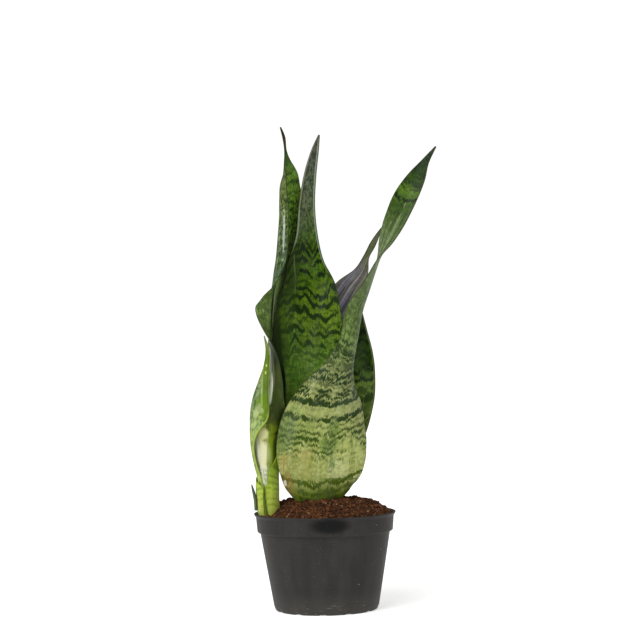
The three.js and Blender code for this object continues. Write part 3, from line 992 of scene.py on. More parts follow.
STATIONS_CENTRE: tuple[Station, ...] = (
    (CROWN_TOP, -6.5, 2, 7, 180, 36, 36),
    (84, -6.8, 2, 7.6, 180, 40, 40),
    (97, -7.8, 2.6, 9.4, 180, 46, 46),
    (118, -6, 5, 18, 180, 45, 45),
    (143, -6, 8, 28, 180, 42, 42),
    (170, -6, 10.5, 34, 180, 40, 42),
    (196, -7.6, 11.5, 33.8, 180, 38, 42),
    (222, -10.6, 12, 32.6, 180, 38, 42),
    (248, -10.2, 12, 30.2, 180, 38, 40),
    (270, -9.2, 12, 25, 180, 38, 38),
    (292, -11.2, 11.5, 17, 180, 42, 42),
    (316, -10.3, 11, 10.4, 180, 46, 46),
    (341, -9.8, 10, 7.9, 180, 50, 50),
    (366, -6.7, 10, 6.1, 180, 50, 50),
    (386, -2.4, 10, 3.8, 180, 40, 40),
    (401.6, 1.9, 10, 0.7, 180, 5, 5),
)
STATIONS_LEANING: tuple[Station, ...] = (
    (CROWN_TOP, -7, 8.5, 6.5, 180, 34, 34),
    (86, -7.3, 8.8, 7, 180, 36, 36),
    (104, -7.8, 11, 10.5, 180, 42, 42),
    (132, -8.3, 15, 17, 180, 42, 42),
    (164, -8, 18, 20, 182, 40, 40),
    (194, -6, 20, 20.5, 186, 38, 38),
    (224, 0.5, 23.5, 19.5, 192, 34, 36),
    (250, 11, 24, 17, 198, 32, 36),
    (270, 22.6, 22, 14.2, 202, 34, 40),
    (284, 33.4, 19, 8.6, 206, 46, 58),
    (297, 39.2, 18.5, 3.6, 208, 60, 70),
    (308, 45.4, 18.5, 3.3, 208, 50, 50),
    (322, 54, 18.5, 0.7, 208, 5, 5),
)
STATIONS_RIGHT: tuple[Station, ...] = (
    (CROWN_TOP, 1, 15, 6.5, 180, 32, 32),
    (86, 2, 15.3, 7, 180, 36, 36),
    (103, 5.2, 18, 10.5, 180, 42, 42),
    (122, 11.5, 23, 14.5, 178, 42, 42),
    (142, 17.4, 27, 18.1, 176, 40, 40),
    (160, 21.5, 29, 21.1, 175, 38, 38),
    (178, 23.6, 32, 23.4, 175, 36, 36),
    (197, 24.6, 34, 22.9, 176, 34, 34),
    (214, 25.6, 35, 20.2, 178, 32, 32),
    (232, 27, 35, 14.4, 180, 30, 30),
    (248, 29, 34, 8.2, 180, 30, 30),
    (263, 31, 33, 0.7, 180, 5, 5),
)
STATIONS_LEFT: tuple[Station, ...] = (
    (CROWN_TOP, -49.2, -3.3, 10, -58, 126, 128),
    (83, -52, -3.9, 13.4, -58, 134, 136),
    (95, -52.6, -3.9, 15, -58, 144, 142),
    (110, -52.8, -4.2, 16.4, -58, 140, 138),
    (127, -55.2, -5, 19.3, -60, 124, 124),
    (143, -56.7, -5.4, 22, -60, 116, 125),
    (157, -56.8, -6, 26, -60, 114, 122),
    (170, -55.8, -7, 29, -60, 118, 112),
    (183, -53.4, -8, 26.6, -64, 98, 73),
    (197, -49.8, -8, 26, -68, 94, 44),
    (213, -46, -7, 26, -77, 94, 16),
    (231, -43.5, -4, 25, -85, 90, -30),
    (250.5, -41.4, -1, 24, -91, 76, -72),
    (261, -40.6, 0, 24, -95, 70, -30),
    (272, -39.4, 1, 24, -99, 64, 24),
    (284, -37.6, 2, 23.8, -105, 58, 58),
    (297, -35.2, 3, 23.4, -111, 52, 86),
    (313, -33, 4, 22.6, -118, 44, 98),
    (330, -30.8, 5, 21.6, -126, 34, 108),
    (345, -29.8, 6, 20.6, -132, 28, 112),
    (357, -28.8, 7, 18.4, -136, 22, 108),
    (368, -26.4, 8, 12, -138, 22, 92),
    (380, -26.6, 9, 4.2, -138, 50, 60),
    (389, -27.2, 10, 1.4, -138, 40, 40),
    (400, -28.4, 11, 1.7, -138, 30, 30),
    (409, -31, 12, 0.7, -138, 5, 5),
)
STATIONS_OUTER: tuple[Station, ...] = (
    (CROWN_TOP, -51.8, -1, 8.6, -90, 78, 78, 0.35),
    (83, -54.85, -1, 10.1, -90, 75, 75, 0.35),
    (95, -55.7, -1, 9.8, -90, 72, 74, 0.2),
    (104, -55.65, -1.1, 9.2, -90, 68, 70, 0.1),
    (112, -55.95, -1.3, 7, -90, 62, 60, 0.2),
    (121, -58.1, -1.8, 8.2, -90, 62, 40, 0.4),
    (132, -60.2, -2.4, 9.8, -88, 56, 26, 0.46),
    (144, -61.4, -3.4, 11.8, -86, 50, 30, 0.44),
    (157, -61.3, -5.4, 17.2, -85, 44, 56, 0.32),
    (168, -60.6, -8.6, 22, -84, 40, 88, 0.27),
    (180, -58, -12.8, 20.4, -82, 38, 98, 0.22),
    (194, -52.8, -17.6, 13.4, -80, 38, 88, 0.22),
    (207, -48, -21, 7, -77, 38, 78, 0.35),
    (220, -46, -22.4, 3.6, -66, 38, 60, 0.35),
    (232, -47.6, -21, 0.7, -66, 5, 5, 0.35),
)
STATIONS_SHEATH: tuple[Station, ...] = (
    (CROWN_TOP, -43.75, 6.6, 22.9, -13, -168, -168, 1),
    (83, -45.2, 7.8, 27, -13, -171, -171, 1),
    (95, -45.8, 8.2, 28.2, -13, -172, -172, 1),
    (103, -45.8, 8.4, 28.6, -13, -171, -171, 1),
    (107, -45.4, 8.4, 27.8, -15, -166, -166, 0.82),
    (110, -44.9, 8.3, 26.8, -18, -160, -160, 0.58),
    (114, -43.9, 8.2, 25.7, -24, -150, -150, 0.52),
    (120, -41.8, 7.8, 23.4, -36, -130, -130, 0.56),
    (128, -39.3, 7, 17.6, -50, -90, -90, 0.78),
    (137, -38.8, 7.7, 11.3, -50, -56, -56, 1),
    (145, -38.5, 8.2, 6, -50, -30, -30, 1),
    (151, -38.3, 8.6, 0.7, -50, -5, -5, 1),
)
STATIONS_SCALE: tuple[Station, ...] = (
    (84.5, -58.6, -2.6, 3.4, -72, 18, 18),
    (92, -58.9, -2.8, 4, -72, 18, 18),
    (99, -59.8, -3.2, 3.4, -68, 18, 18),
    (106.7, -61.2, -3.8, 0.6, -64, 5, 5),
)


FRONT = LeafSkin(
    outer=Tones((
        (88, "5c6c18", "2c3c06"), (98, "6c7c2c", "304006"), (106, "8d9650", "40520a"),
        (116, "a8ad68", "46580f"), (128, "a4aa64", "3c5014"), (145, "959f58", "304410"),
        (165, "989f5e", "22340c"), (190, "929a60", "1e3010"), (206, "7c8a50", "1e300f"),
        (222, "6c8044", "24380f"), (250, "60743f", "283a14"), (275, "667a4c", "32421c"),
        (300, "5c7040", "33452a"), (388, "4c6234", "2a3c20"),
    )),
    inner=Tones((
        (88, "5c6c18", "2c3c06"), (200, "72845a", "2e4020"), (240, "7c8868", "3c4a2e"),
        (285, "808c6a", "3a4a2a"), (305, "76885a", "2e421c"), (325, "5a6e36", "20340f"),
        (335, "3a5612", "122404"), (346, "425e14", "0e2002"), (351, "527018", "1a2e08"),
        (357, "324c0c", "0e2006"), (366, "263e10", "0c1c06"), (382, "26381c", "101c0c"),
        (388, "35301f", "222715"),
    )),
    bands=(
        (90, 3.5, 0.8), (97.5, 2.2, 0.8), (105.6, 2, 1.6), (112, 0.6, 0.4), (117, 0.6, 0.5),
        (121.5, 0.7, 0.6), (126.5, 0.9, 0.8), (132, 1.3, 1), (137.6, 1.2, 1), (142.8, 1.5, 1.1),
        (148.2, 1.3, 0.9), (153.8, 1, 0.8), (160.2, 2.6, 2), (167, 0.7, 0.3), (173.2, 2, 1.8),
        (178.5, 1.4, 1.2), *rhythm(182.5, 224, 4.3, 1.5, 1.3, 12), *rhythm(228, 325, 8, 1.7, 0.6, 4),
        (331, 1.6, 0.7), (337.5, 1.2, 0.8), (343, 1.5, 1.5), (352, 1.1, 0.9),
        *rhythm(356, 385, 3.2, 0.9, 1.2, 6),
    ),
    seed=3.1, arch=((-1, -6), (-0.4, -1.6), (0, 0), (0.4, -2.4), (1, -9)), wander=7, ripple=8, teeth=10,
    zigzag=1.4, soft=1.7, ghost=0.45, bloom=0.06,
    mottle=((180, 0.2), (200, 0.6), (225, 0.75), (300, 0.6), (332, 0.5), (344, 0.1)), level_below=(190, 250),
    flat_above=(300, 330),
    patches=(
        Patch(121, 16, 13, 22, "bcc08a", 0.6, 1.2, under=True),
        Patch(124, -21, 17, 16, "8c8e46", 0.75, 1.2, under=True),
        Patch(138, 5, 25, 5, "587228", 0.7, 1.2, under=True),
        Patch(146, -26, 16, 12, "7c8c46", 0.7, 1.2, under=True),
        Patch(143, -34, 17, 8, "62743a", 0.65, 0.9, under=True),
        Patch(99, 4, 9, 7, "40560c", 0.6, 1.2, under=True),
        Patch(200, 12, 14, 7, "52683a", 0.5, 1.2, under=True), Patch(119, -31, 9, 0.7, "a4673c", 0.75, 0.3),
        Patch(105, -29.5, 2.2, 1.6, "efe8d8", 0.9, 0.4), Patch(106, -26, 9, 7, "8a6a3c", 0.4, 1.0),
        Patch(132, -16, 5, 7, "a08a5c", 0.3, 1.2), Patch(137, 25, 13, 11, "a4ab66", 0.5, 1.2),
        Patch(111.5, 19, 1.7, 15, "45590f", 0.75, 0.9), Patch(238, 2.6, 28, 2, "90a566", 0.6, 0.6, rim=1),
        Patch(213, 5.5, 15, 0.9, "2a3a12", 0.6, 0.6, rim=1),
        Patch(255, 1.2, 60, 0.8, "a8b28c", 0.6, 0.5, rim=1), Patch(262, 7, 44, 1, "93a278", 0.4, 0.5, rim=1),
        Patch(316, -2, 18, 1, "9aa878", 0.3, 1.2, face=1), Patch(318, 4, 16, 0.8, "93a070", 0.3, 1.2, face=1),
        Patch(322, 1, 20, 0.9, "1c300c", 0.5, 1.2, face=1),
        Patch(310, -6, 18, 1, "22360f", 0.45, 1.2, face=1),
        Patch(318, -6.4, 24, 1.3, "2c4414", 0.6, 0.9, face=1),
        Patch(322, 6.4, 20, 1, "30461a", 0.5, 0.9, face=1), Patch(312, 2, 14, 1, "2c4216", 0.45, 0.9, face=1),
    ),
)
CENTRE = LeafSkin(
    outer=Tones(((88, "4f6a22", "2b4012"), (200, "55702c", "2c4414"), (398, "5f6a4c", "40493a"))),
    inner=Tones((
        (88, "44641a", "1c3206"), (150, "64862c", "2a460c"), (182, "7aa03a", "304e12"),
        (208, "6c9230", "28440c"), (222, "5e7c22", "1c3606"), (240, "64801e", "183002"),
        (262, "5c7a0c", "0e2400"), (286, "486a06", "081c00"), (304, "4a6a08", "0c2000"),
        # From 318 mm up the inner tones turn grey-green: painted sheen on the upper leaf; the brown at the
        # tip is its own colour.
        (318, "50692a", "162a08"), (330, "5c6a40", "223018"), (345, "5a6446", "24301a"),
        (371, "525a46", "222a20"), (390, "4a4a3e", "282b22"), (402, "46382c", "2a2018"),
    )),
    bands=(
        *rhythm(92, 150, 10, 2.6, 0.6, 4), (158, 2.4, 0.3), (168, 2, 0.3), (178, 2.2, 0.3), (188, 2, 0.35),
        (199, 2, 0.5), (208, 1.5, 0.6), (215.5, 2.2, 0.8), (224.5, 2.4, 1), (234.5, 2.2, 1.1),
        (241, 1.2, 0.8), (249, 2.4, 1.2), (260.5, 2.2, 1.2), (268.5, 2, 1.2), (275, 1.2, 0.8),
        (283.5, 2.1, 1.2), (294, 2, 1.2), (302, 1.8, 1.1), (309, 1.7, 0.95), (317, 1.8, 0.6), (326, 2, 0.5),
        *rhythm(335, 398, 8, 1.6, 0.3, 9),
    ),
    seed=11.4, arch=((-1, -3), (-0.4, 4), (0.35, -4), (1, 5)), wander=9, ripple=7, teeth=7, zigzag=4,
    soft=2.2, ghost=0.75, bloom=0.05,
    mottle=((150, 0.45), (200, 0.35), (240, 0.3), (296, 0.4), (322, 0.8), (340, 0.95), (400, 0.8)),
    margin="4a4f34", margin_width=0.35,
    patches=(
        # Painted highlights: the pale lines along the rolled margin at 322 and 348 mm and on the fold at 275
        # and 289 mm.
        Patch(322, 1.1, 18, 0.9, "8f9c7c", 0.7, 0.4, face=1, rim=1),
        Patch(345, 1.2, 60, 0.8, "8a9884", 0.6, 0.5, face=1, rim=-1),
        Patch(289, 11, 12, 0.7, "8d9c74", 0.75, 0.3, face=1),
        Patch(275, 12.6, 9, 0.8, "758a52", 0.6, 0.6, face=1),
        # Painted shade: the near-black and dark green patches along this margin from 150 to 284 mm, in the
        # deep gap beside the left leaf.
        Patch(205, 1, 46, 9, "040a00", 1.0, 0.4, face=1, rim=1),
        Patch(150, 2, 30, 5, "14240a", 0.6, 0.5, face=1, rim=1),
        Patch(246, 9, 42, 9, "2a420e", 0.5, 0.5, face=1, rim=1),
        Patch(284, 3, 26, 9, "22340a", 0.6, 0.5, face=1, rim=1),
        Patch(250, 0, 22, 3, "1e2c08", 0.55, 0.6, face=1, rim=1),
        Patch(196, 15, 24, 6, "578c1c", 0.5, 1.4, face=1, under=True),
        Patch(186, 4, 26, 5, "7c9a44", 0.5, 1.4, face=1, under=True),
        Patch(232, 8, 14, 5, "4a6c34", 0.5, 1.4, face=1, under=True),
        Patch(348, 0.4, 48, 0.9, "8a907c", 0.7, 0.5, face=1, rim=1),
        Patch(238, 0, 48, 0.9, "161d06", 0.85, 0.3, face=1, rim=1),
        Patch(250, 0, 50, 0.7, "28320f", 0.7, 0.3, face=1, rim=-1),
    ),
)
LEANING = LeafSkin(
    outer=Tones(((88, "44562a", "2c3c1c"), (240, "4c5c38", "2a3818"), (322, "4c5a38", "2a3818"))),
    # The inner face is dark low down, painted shade under the front leaves, and grey from 240 to 285 mm, a
    # painted reflection.
    inner=Tones((
        (88, "3c4c20", "1e2c0c"), (215, "2c3418", "141a08"), (240, "4a4848", "242222"),
        (262, "6c6a6c", "302e30"), (285, "74726c", "34342e"), (300, "5a623c", "2a341a"),
        (322, "3e4628", "242c14"),
    )),
    # Its grey-purple bloom is partly wax and partly painted reflection.
    bands=rhythm(90, 318, 13, 2.4, 0.3, 21), seed=23.7, ghost=0.35, bloom=0.35, bloom_colour="84808a",
    rough=0.4, streaks=0.6,
    patches=(
        # Light and dark grey streaks in the painted reflection.
        Patch(262, 1.2, 22, 0.7, "8c8c84", 0.6, 0.4, face=1, rim=1),
        Patch(250, 3, 26, 1.3, "29282a", 0.8, 0.6, face=1),
        Patch(250, -6, 26, 1.6, "2a2928", 0.7, 0.6, face=1), Patch(262, 7, 20, 1, "97929a", 0.5, 0.6, face=1),
        Patch(262, -1.5, 24, 1, "a09ca2", 0.5, 0.6, face=1),
    ),
)
RIGHT = LeafSkin(
    outer=Tones(((88, "4f6a22", "2b4012"), (263, "48622c", "28401a"))),
    # The inner face darkens from 196 mm up nearly to black: painted shade behind the front and leaning
    # leaves.
    inner=Tones((
        (88, "4c661c", "1c3206"), (130, "5e762a", "1e3408"), (165, "8ca44a", "2c4810"),
        (184, "84a040", "243e08"), (196, "4e6c1c", "162a02"), (210, "2e4c0a", "0a1a00"),
        (225, "223c06", "081400"), (263, "1a2e04", "081400"),
    )),
    bands=rhythm(90, 260, 8.5, 2.2, 0.95, 5), seed=31.2, wander=10, ripple=9, zigzag=4, ghost=0.4, bloom=0.05,
    patches=(Patch(190, 0.9, 60, 0.7, "7c8c5c", 0.5, 0.5, face=1, rim=-1),),
)
LEFT = LeafSkin(
    outer=Tones((
        (88, "8a9a3e", "4c6014"), (104, "94a43c", "4e640e"), (118, "84941e", "40540a"),
        (150, "748418", "34440a"), (170, "4a581e", "242e0c"), (200, "505e2c", "242d10"),
        (225, "566a2e", "20300c"), (255, "627842", "1e3216"), (285, "56703a", "16280c"),
        (312, "566a3c", "16260e"), (340, "66763a", "1e2c10"), (360, "667238", "263416"),
        (380, "4c5430", "242c16"), (407, "403424", "241c14"),
    )),
    inner=Tones((
        (88, "6c8020", "3c520c"), (200, "3e561c", "182a06"), (235, "5c7430", "2e4418"),
        (255, "7e9450", "43592a"), (270, "6c8240", "34481c"), (285, "54702c", "20360c"),
        (300, "4a661a", "142806"), (330, "5a7e1e", "163002"), (350, "6a9022", "183202"),
        (366, "648826", "1a3408"), (378, "486428", "1c3010"), (388, "34401c", "1d2810"),
        (398, "403020", "241a10"), (407, "2c2018", "1a140e"),
    )),
    bands=(
        (92, 2, 0.3), (104, 1.6, 0.3), (113, 1, 0.3), (124, 1, 0.6), (134, 1, 0.2), (145.6, 1.1, 0.9),
        (159, 1.7, 0.9), (167, 1.6, 0.5), *rhythm(175, 325, 9, 2, 0.8, 13), (333.5, 1.1, 0.8),
        (342.9, 1, 0.85), (351.3, 0.9, 0.9), (360.4, 1, 0.9), (369, 1, 0.85), (377, 1.2, 0.7),
        *rhythm(385, 404, 6, 1.4, 0.6, 2),
    ),
    seed=41.9, arch=((-1, -4), (0, 0), (1, -4)), ripple=8, ghost=0.55, bloom=0.04,
    mottle=((160, 0.3), (215, 0.4), (250, 0.9), (345, 0.95), (360, 0.3)), margin="2a3418", margin_width=0.9,
    patches=(
        # Painted highlight: the whitish glossy zone low on the tube's outer face, from about 105 to 157 mm.
        Patch(133, 4.5, 12.5, 8.5, "d2d0aa", 0.85, 0.8), Patch(150, 4, 7, 9, "dcdca0", 0.8, 0.8),
        Patch(136, 1, 12, 3, "f6f4e2", 0.9, 0.5), Patch(158, 8.5, 6, 3, "a0a655", 0.6, 0.7),
        Patch(115, 4.5, 9.5, 6.5, "dcdcc4", 0.9, 0.8, under=True),
        Patch(122, 11, 30, 2.2, "cdbf9c", 0.5, 0.8, under=True),
        # Painted shading: the yellow-green band and the dark green near margin, where the tube turns away
        # from the light.
        Patch(120, 1, 36, 5.6, "3a5008", 0.85, 0.5, rim=1), Patch(128, 8, 46, 2.6, "687f10", 0.7, 0.5, rim=1),
        # Painted shade: the near-black and dark olive patches from 168 to 246 mm, in the fold and the gap
        # beside the centre leaf. Painted highlight: the white stripes at 190 and 208 mm along the rolled
        # edge, with a grey-purple band beside them.
        Patch(197, 21.5, 24, 6, "2a3410", 0.8, 0.6), Patch(223, 20.5, 18, 8, "161e04", 0.95, 0.5),
        Patch(246, 6, 18, 8, "1c2406", 0.6, 0.5), Patch(203, 16.4, 17, 2, "60624e", 0.8, 0.5),
        Patch(208, 12.6, 13, 2, "f2f8e4", 0.95, 0.4), Patch(190, 14.6, 13, 2, "e8f2d4", 0.95, 0.4),
        Patch(176, 21, 16, 5, "2a380e", 0.75, 0.6), Patch(194, 3, 12, 2.6, "3a4416", 0.7, 1.1, rim=1),
        Patch(168, 7, 12, 8, "303a18", 0.65, 0.6, rim=1),
        # Painted sheen: the whitish, grey-green and blue-grey stripes on the rolled near margin from 284 to
        # 322 mm, up to 4.6 mm from the margin.
        Patch(322, 4.6, 20, 1.5, "b0bba0", 0.6, 0.9, under=True, rim=1),
        Patch(300, 3.2, 16, 1.4, "96a58e", 0.55, 0.9, under=True, rim=1),
        Patch(284, 4, 9, 3, "4e625a", 0.75, 1.0, rim=1), Patch(318, 4.2, 18, 1.1, "b6bfb0", 0.5, 0.9, rim=1),
        Patch(300, 10, 40, 1.2, "93a06c", 0.5, 0.9, under=True, rim=1),
        Patch(262, -1, 22, 1.4, "15200a", 0.6, 0.6, face=1),
        Patch(256, 14, 18, 4, "8ba05c", 0.5, 1.2, face=1, under=True),
        Patch(275, -7, 7, 3.6, "6d8c3a", 0.85, 1.0, face=1),
        Patch(264, -4.6, 8, 1.7, "7b9558", 0.85, 0.8, face=1),
        # Painted shade: the near-black patches on the inner face at 222 and 250 mm, deep in the fold.
        Patch(253, -3, 8, 0.8, "889a76", 0.8, 0.6, face=1), Patch(250, 3, 30, 3, "0c1202", 0.92, 0.6, face=1),
        Patch(250, 2, 38, 12, "080f00", 0.92, 0.5, face=1, rim=-1),
        Patch(222, 0, 26, 6, "141f06", 0.8, 0.5, face=1),
    ),
)
OUTER = LeafSkin(
    outer=Tones((
        (88, "93a452", "4f6a1c"), (110, "a4b45c", "5c7420"), (150, "9aae5c", "3c5c1c"),
        (176, "8a9c60", "2e4c1c"), (190, "84965c", "34481f"), (205, "8a9c34", "4c6014"),
        (232, "5c6c3c", "34431f"),
    )),
    inner=Tones((
        (88, "8a9c42", "4f6c20"), (165, "7c9444", "3a5418"), (200, "8fa04a", "4c641c"),
        (232, "6c7c3c", "3c4c20"),
    )),
    bands=rhythm(92, 230, 9, 2, 0.8, 17), seed=53.3, ghost=0.4, bloom=0.12,
    mottle=((150, 0.4), (165, 0.7), (232, 0.7)), margin="82963a",
    patches=(
        Patch(203, 3.4, 30, 3, "4c6410", 0.8, 0.9, rim=1), Patch(179, 4, 9, 6, "587616", 0.8, 1.0, rim=1),
        Patch(198, 1, 22, 1, "3c4e0e", 0.6, 0.9, rim=1), Patch(190, 6.4, 18, 0.9, "93a85a", 0.5, 0.9, rim=1),
        Patch(170, 9, 14, 7, "8a9e36", 0.6, 1.2, under=True, rim=1),
        Patch(175, 8.5, 3.4, 3, "b0bb84", 0.4, 1.1, rim=1),
        Patch(168.5, 12, 4, 3.6, "b4be84", 0.5, 1.1, rim=1),
        Patch(172, 1.5, 7, 3, "4a5c08", 0.35, 0.6, rim=1), Patch(160, 9, 4, 4, "b0bd7c", 0.5, 1.2, rim=1),
        Patch(208, 3, 1.1, 0.8, "b4c860", 0.8, 0.3, rim=1),
        Patch(203, 3.4, 1.1, 0.8, "b4c860", 0.8, 0.3, rim=1),
        Patch(140, 0.8, 34, 1.2, "95a83e", 0.85, 0.4, rim=1),
        Patch(182, 15, 7, 2.6, "3c5c24", 0.8, 1.1, rim=1),
    ),
)
SHEATH = LeafSkin(
    outer=Tones((
        (88, "b0bc54", "7c9024"), (104, "a0b43c", "6a8418"), (125, "64780e", "405604"),
        (151, "54680c", "34480a"),
    )),
    inner=Tones((
        (88, "b0bc54", "7c9024"), (104, "a0b43c", "6a8418"), (125, "6c8014", "445a06"),
        (151, "54680c", "34480a"),
    )),
    bands=rhythm(84, 150, 6, 1.2, 0.8, 3), seed=61.8, wander=7, ripple=5, teeth=5, ghost=0.25, bloom=0.05,
    margin="7c9420",
    patches=(Patch(92, 14, 7, 6, "8a6420", 0.6, 1.0),),
)
SCALE = LeafSkin(
    outer=Tones(((84, "4c6430", "28401a"), (107, "33451f", "1e2f14"))),
    inner=Tones(((84, "4c6430", "28401a"), (107, "33451f", "1e2f14"))),
    bands=rhythm(84, 107, 7, 1.5, 0.5, 8), seed=71.5, ghost=0.3, bloom=0.1,
)


def leaves() -> list[Leaf]:
    """All leaves, from the front of the middle shoot to the outside of the left one."""
    return [
        Leaf("leaf_front", "leaf_pale", STATIONS_FRONT, 3.2, 1.3, FRONT, rows=330, strips=56),
        Leaf("leaf_centre", "leaf_dark", STATIONS_CENTRE, 3.0, 1.3, CENTRE, rows=330, strips=48),
        Leaf("leaf_leaning", "leaf_grey", STATIONS_LEANING, 2.8, 1.2, LEANING, rows=240, strips=36),
        Leaf("leaf_right", "leaf_dark", STATIONS_RIGHT, 2.8, 1.2, RIGHT, rows=190, strips=36),
        Leaf("leaf_left", "leaf_mid", STATIONS_LEFT, 2.0, 1.1, LEFT, rows=340, strips=48),
        Leaf("leaf_outer", "leaf_yellow", STATIONS_OUTER, 0.9, 1.0, OUTER, rows=180, strips=28),
        Leaf("leaf_sheath", "leaf_yellow", STATIONS_SHEATH, 0.9, 0.8, SHEATH, rows=110, strips=56),
        Leaf("leaf_scale", "leaf_dark", STATIONS_SCALE, 0.8, 0.7, SCALE, rows=40, strips=12),
    ]


# ------------------------------------------------------------------ pot

# Noises on the pot, in metres.
POT_STREAKS = Lumps(0.009, 0.009, 0.16)
POT_CLOUDS = Lumps(0.022, 0.022, 0.03, 3.0, 0.55)
POT_SCUFFS = Lumps(0.007, 0.007, 0.0011, 4.0, 0.6, (3.0, 1.0, 4.0))
POT_GRAIN = Lumps(0.0006, 0.0006, 0.0006, 2.0, 0.6)

# Where the pot's noises, spots and heights are cut: low, high, and the values there if they are not 0 and 1.
SHEEN_EDGE = (0.36, 0.66)
SHEEN_ROUGHNESS = (0.35, 0.7, 0.46, 0.58)
SCUFF_EDGE = (0.57, 0.72)
SCUFF_HEIGHTS = (0.017, 0.003, 0.06, 0.86)
DUST_HEIGHTS = (0.022, 0.004, 0.0, 0.04)
DARK_REFLECTION_EDGE = (1.7, 0.2)
MARK_EDGE = (0.0007, 0.0001)

# How strongly each mark on the pot, and the painted dark reflection, shows.
SCUFF_COVER, SPECK_COVER, DUST_COVER = 0.35, 0.4, 0.22
DARK_REFLECTION_COVER, DARK_REFLECTION_GLOSS = 0.95, -0.1
MARK_HEIGHT, GRAIN_HEIGHT = 1.3, 0.35
POT_RELIEF = 0.00025


@dataclass
class NurseryPot:
    """The thin black pot, turned from one profile. Sizes in mm, but the painted dark reflection on the band
    and the mark in metres.
    """

    height: float = 82.0
    wall: float = 1.2
    lip_radius: float = 60.0
    lip_height: float = 3.2
    band_top: float = 58.3
    band_low: float = 57.3
    band_bottom: float = 66.0
    body_top: float = 54.7
    body_low: float = 44.4
    foot_radius: float = 43.2
    foot_width: float = 4.6
    recess: float = 1.2
    pad: float = 13.0
    floor: float = 2.4
    rounding: float = 0.28
    segments: int = 224
    holes: int = 8
    hole_radius: float = 3.2
    hole_circle: float = 27.0
    foot_notches: int = 12
    notch_depth: float = 0.75
    notch_reach: float = 3.4
    warp: float = 0.0022
    lip_wave: float = 0.14
    # Middle and reach of the painted dark reflection on the front of the rim band, in metres.
    dark_reflection_middle: tuple[float, float] = (0.004, 0.0755)
    dark_reflection_reach: tuple[float, float] = (0.016, 0.0065)
    mark_middle: tuple[float, float] = (0.0052, 0.0592)
    mark_radius: float = 0.0019

    def profile(self) -> list[tuple[float, float]]:
        """Radius and height of the section, from the middle of the underside to the middle of the floor."""
        ring = self.foot_radius - self.foot_width
        lip = self.height - self.lip_height
        return [
            (0, 0), (self.pad, 0), (self.pad + self.recess, self.recess), (ring - self.recess, self.recess),
            (ring, 0), (self.foot_radius - 1, 0), (self.foot_radius, 0.7), (self.body_low, 4),
            (self.body_top, self.band_bottom - 1.2), (self.body_top + 0.3, self.band_bottom),
            (self.band_low - 0.5, self.band_bottom + 0.1), (self.band_low, self.band_bottom + 0.8),
            (self.band_top, lip), (self.lip_radius - 0.4, self.height - 1.4),
            (self.lip_radius, self.height - 0.5), (self.lip_radius - 0.5, self.height),
            (self.lip_radius - self.wall - 0.3, self.height), (self.band_top - self.wall, lip),
            (self.band_low - self.wall, self.band_bottom + 2.4),
            (self.body_top - self.wall, self.band_bottom), (self.body_low - self.wall, 4.6),
            (self.foot_radius - self.wall - 1, self.floor), (0, self.floor),
        ]

    def shell(self) -> bmesh.types.BMesh:
        """Turn the profile into the shell, with rounded corners and the slight unevenness of a thin moulding.

        Returns:
            The closed shell, in metres.
        """
        bm = chain(self.profile())
        bmesh.ops.bevel(bm, geom=bm.verts[1:-1], offset=self.rounding * MM, segments=3, profile=0.5,
                        affect="VERTICES", material=-1)
        long_edges = [edge for edge in bm.edges if edge.calc_length() > 6 * MM]
        bmesh.ops.subdivide_edges(bm, edges=long_edges, cuts=9)
        turn(bm, self.segments)
        for vert in bm.verts:
            radius = math.hypot(vert.co.x, vert.co.y) / MM
            if radius >= 1:
                self.roughen(vert, radius)
        bmesh.ops.recalc_face_normals(bm, faces=bm.faces)
        return bm

    def roughen(self, vert: bmesh.types.BMVert, radius: float) -> None:
        """Move one point of the shell a little: a warped wall, a wavy lip and notches in the foot.

        Args:
            vert: The point.
            radius: How far it is from the axis, in mm.
        """
        z = vert.co.z / MM
        angle = math.atan2(vert.co.y, vert.co.x)
        ahead, aside = math.cos(angle), math.sin(angle)
        grow = 1 + self.warp * noise.noise(Vector((ahead * 2.2, aside * 2.2, z * 0.02))) * ease(6, 40, z)
        vert.co.x *= grow
        vert.co.y *= grow
        if z > self.height - 1.5:
            vert.co.z += self.lip_wave * MM * noise.noise(Vector((ahead * 3, aside * 3, 7)))
        inner = self.foot_radius - self.notch_reach
        if z < 1 and radius > inner:
            notch = ease(0.55, 0.95, math.cos(self.foot_notches * angle + 0.9))
            vert.co.z += self.notch_depth * MM * notch * ease(inner, self.foot_radius - 2, radius)

    def drill(self, pot: bpy.types.Object) -> None:
        """Cut the drain holes through the floor.

        Args:
            pot: The shell, which gets the cut mesh.
        """
        bm = bmesh.new()
        for hole in range(self.holes):
            angle = 2 * math.pi * (hole + 0.5) / self.holes
            spot = Vector((math.cos(angle), math.sin(angle), 0)) * self.hole_circle * MM
            bmesh.ops.create_cone(bm, cap_ends=True, segments=32, radius1=self.hole_radius * MM,
                                  radius2=self.hole_radius * MM, depth=4 * self.floor * MM,
                                  matrix=Matrix.Translation(spot))
        drill = finished("drain_drill", bm, pot.data.materials[0])
        cut = pot.modifiers.new("drain holes", "BOOLEAN")
        cut.operation, cut.solver, cut.object = "DIFFERENCE", "EXACT", drill
        bpy.context.view_layer.update()
        seen = pot.evaluated_get(bpy.context.evaluated_depsgraph_get())
        mesh = bpy.data.meshes.new_from_object(seen)
        pot.modifiers.clear()
        pot.data = mesh
        bpy.data.objects.remove(drill)

    def plastic(self) -> bpy.types.Material:
        """The dusty black moulded plastic, lightly scuffed near the foot."""
        made = Finish("black moulded plastic", Specular_IOR_Level=0.09)
        sheet = made.sheet
        place = sheet.place()
        x, y, z = sheet.split(place)
        front = sheet.math("LESS_THAN", y, 0.0)
        sheen = sheet.weigh(sheet.noise(place, POT_STREAKS), 0.5, sheet.noise(place, POT_CLOUDS))
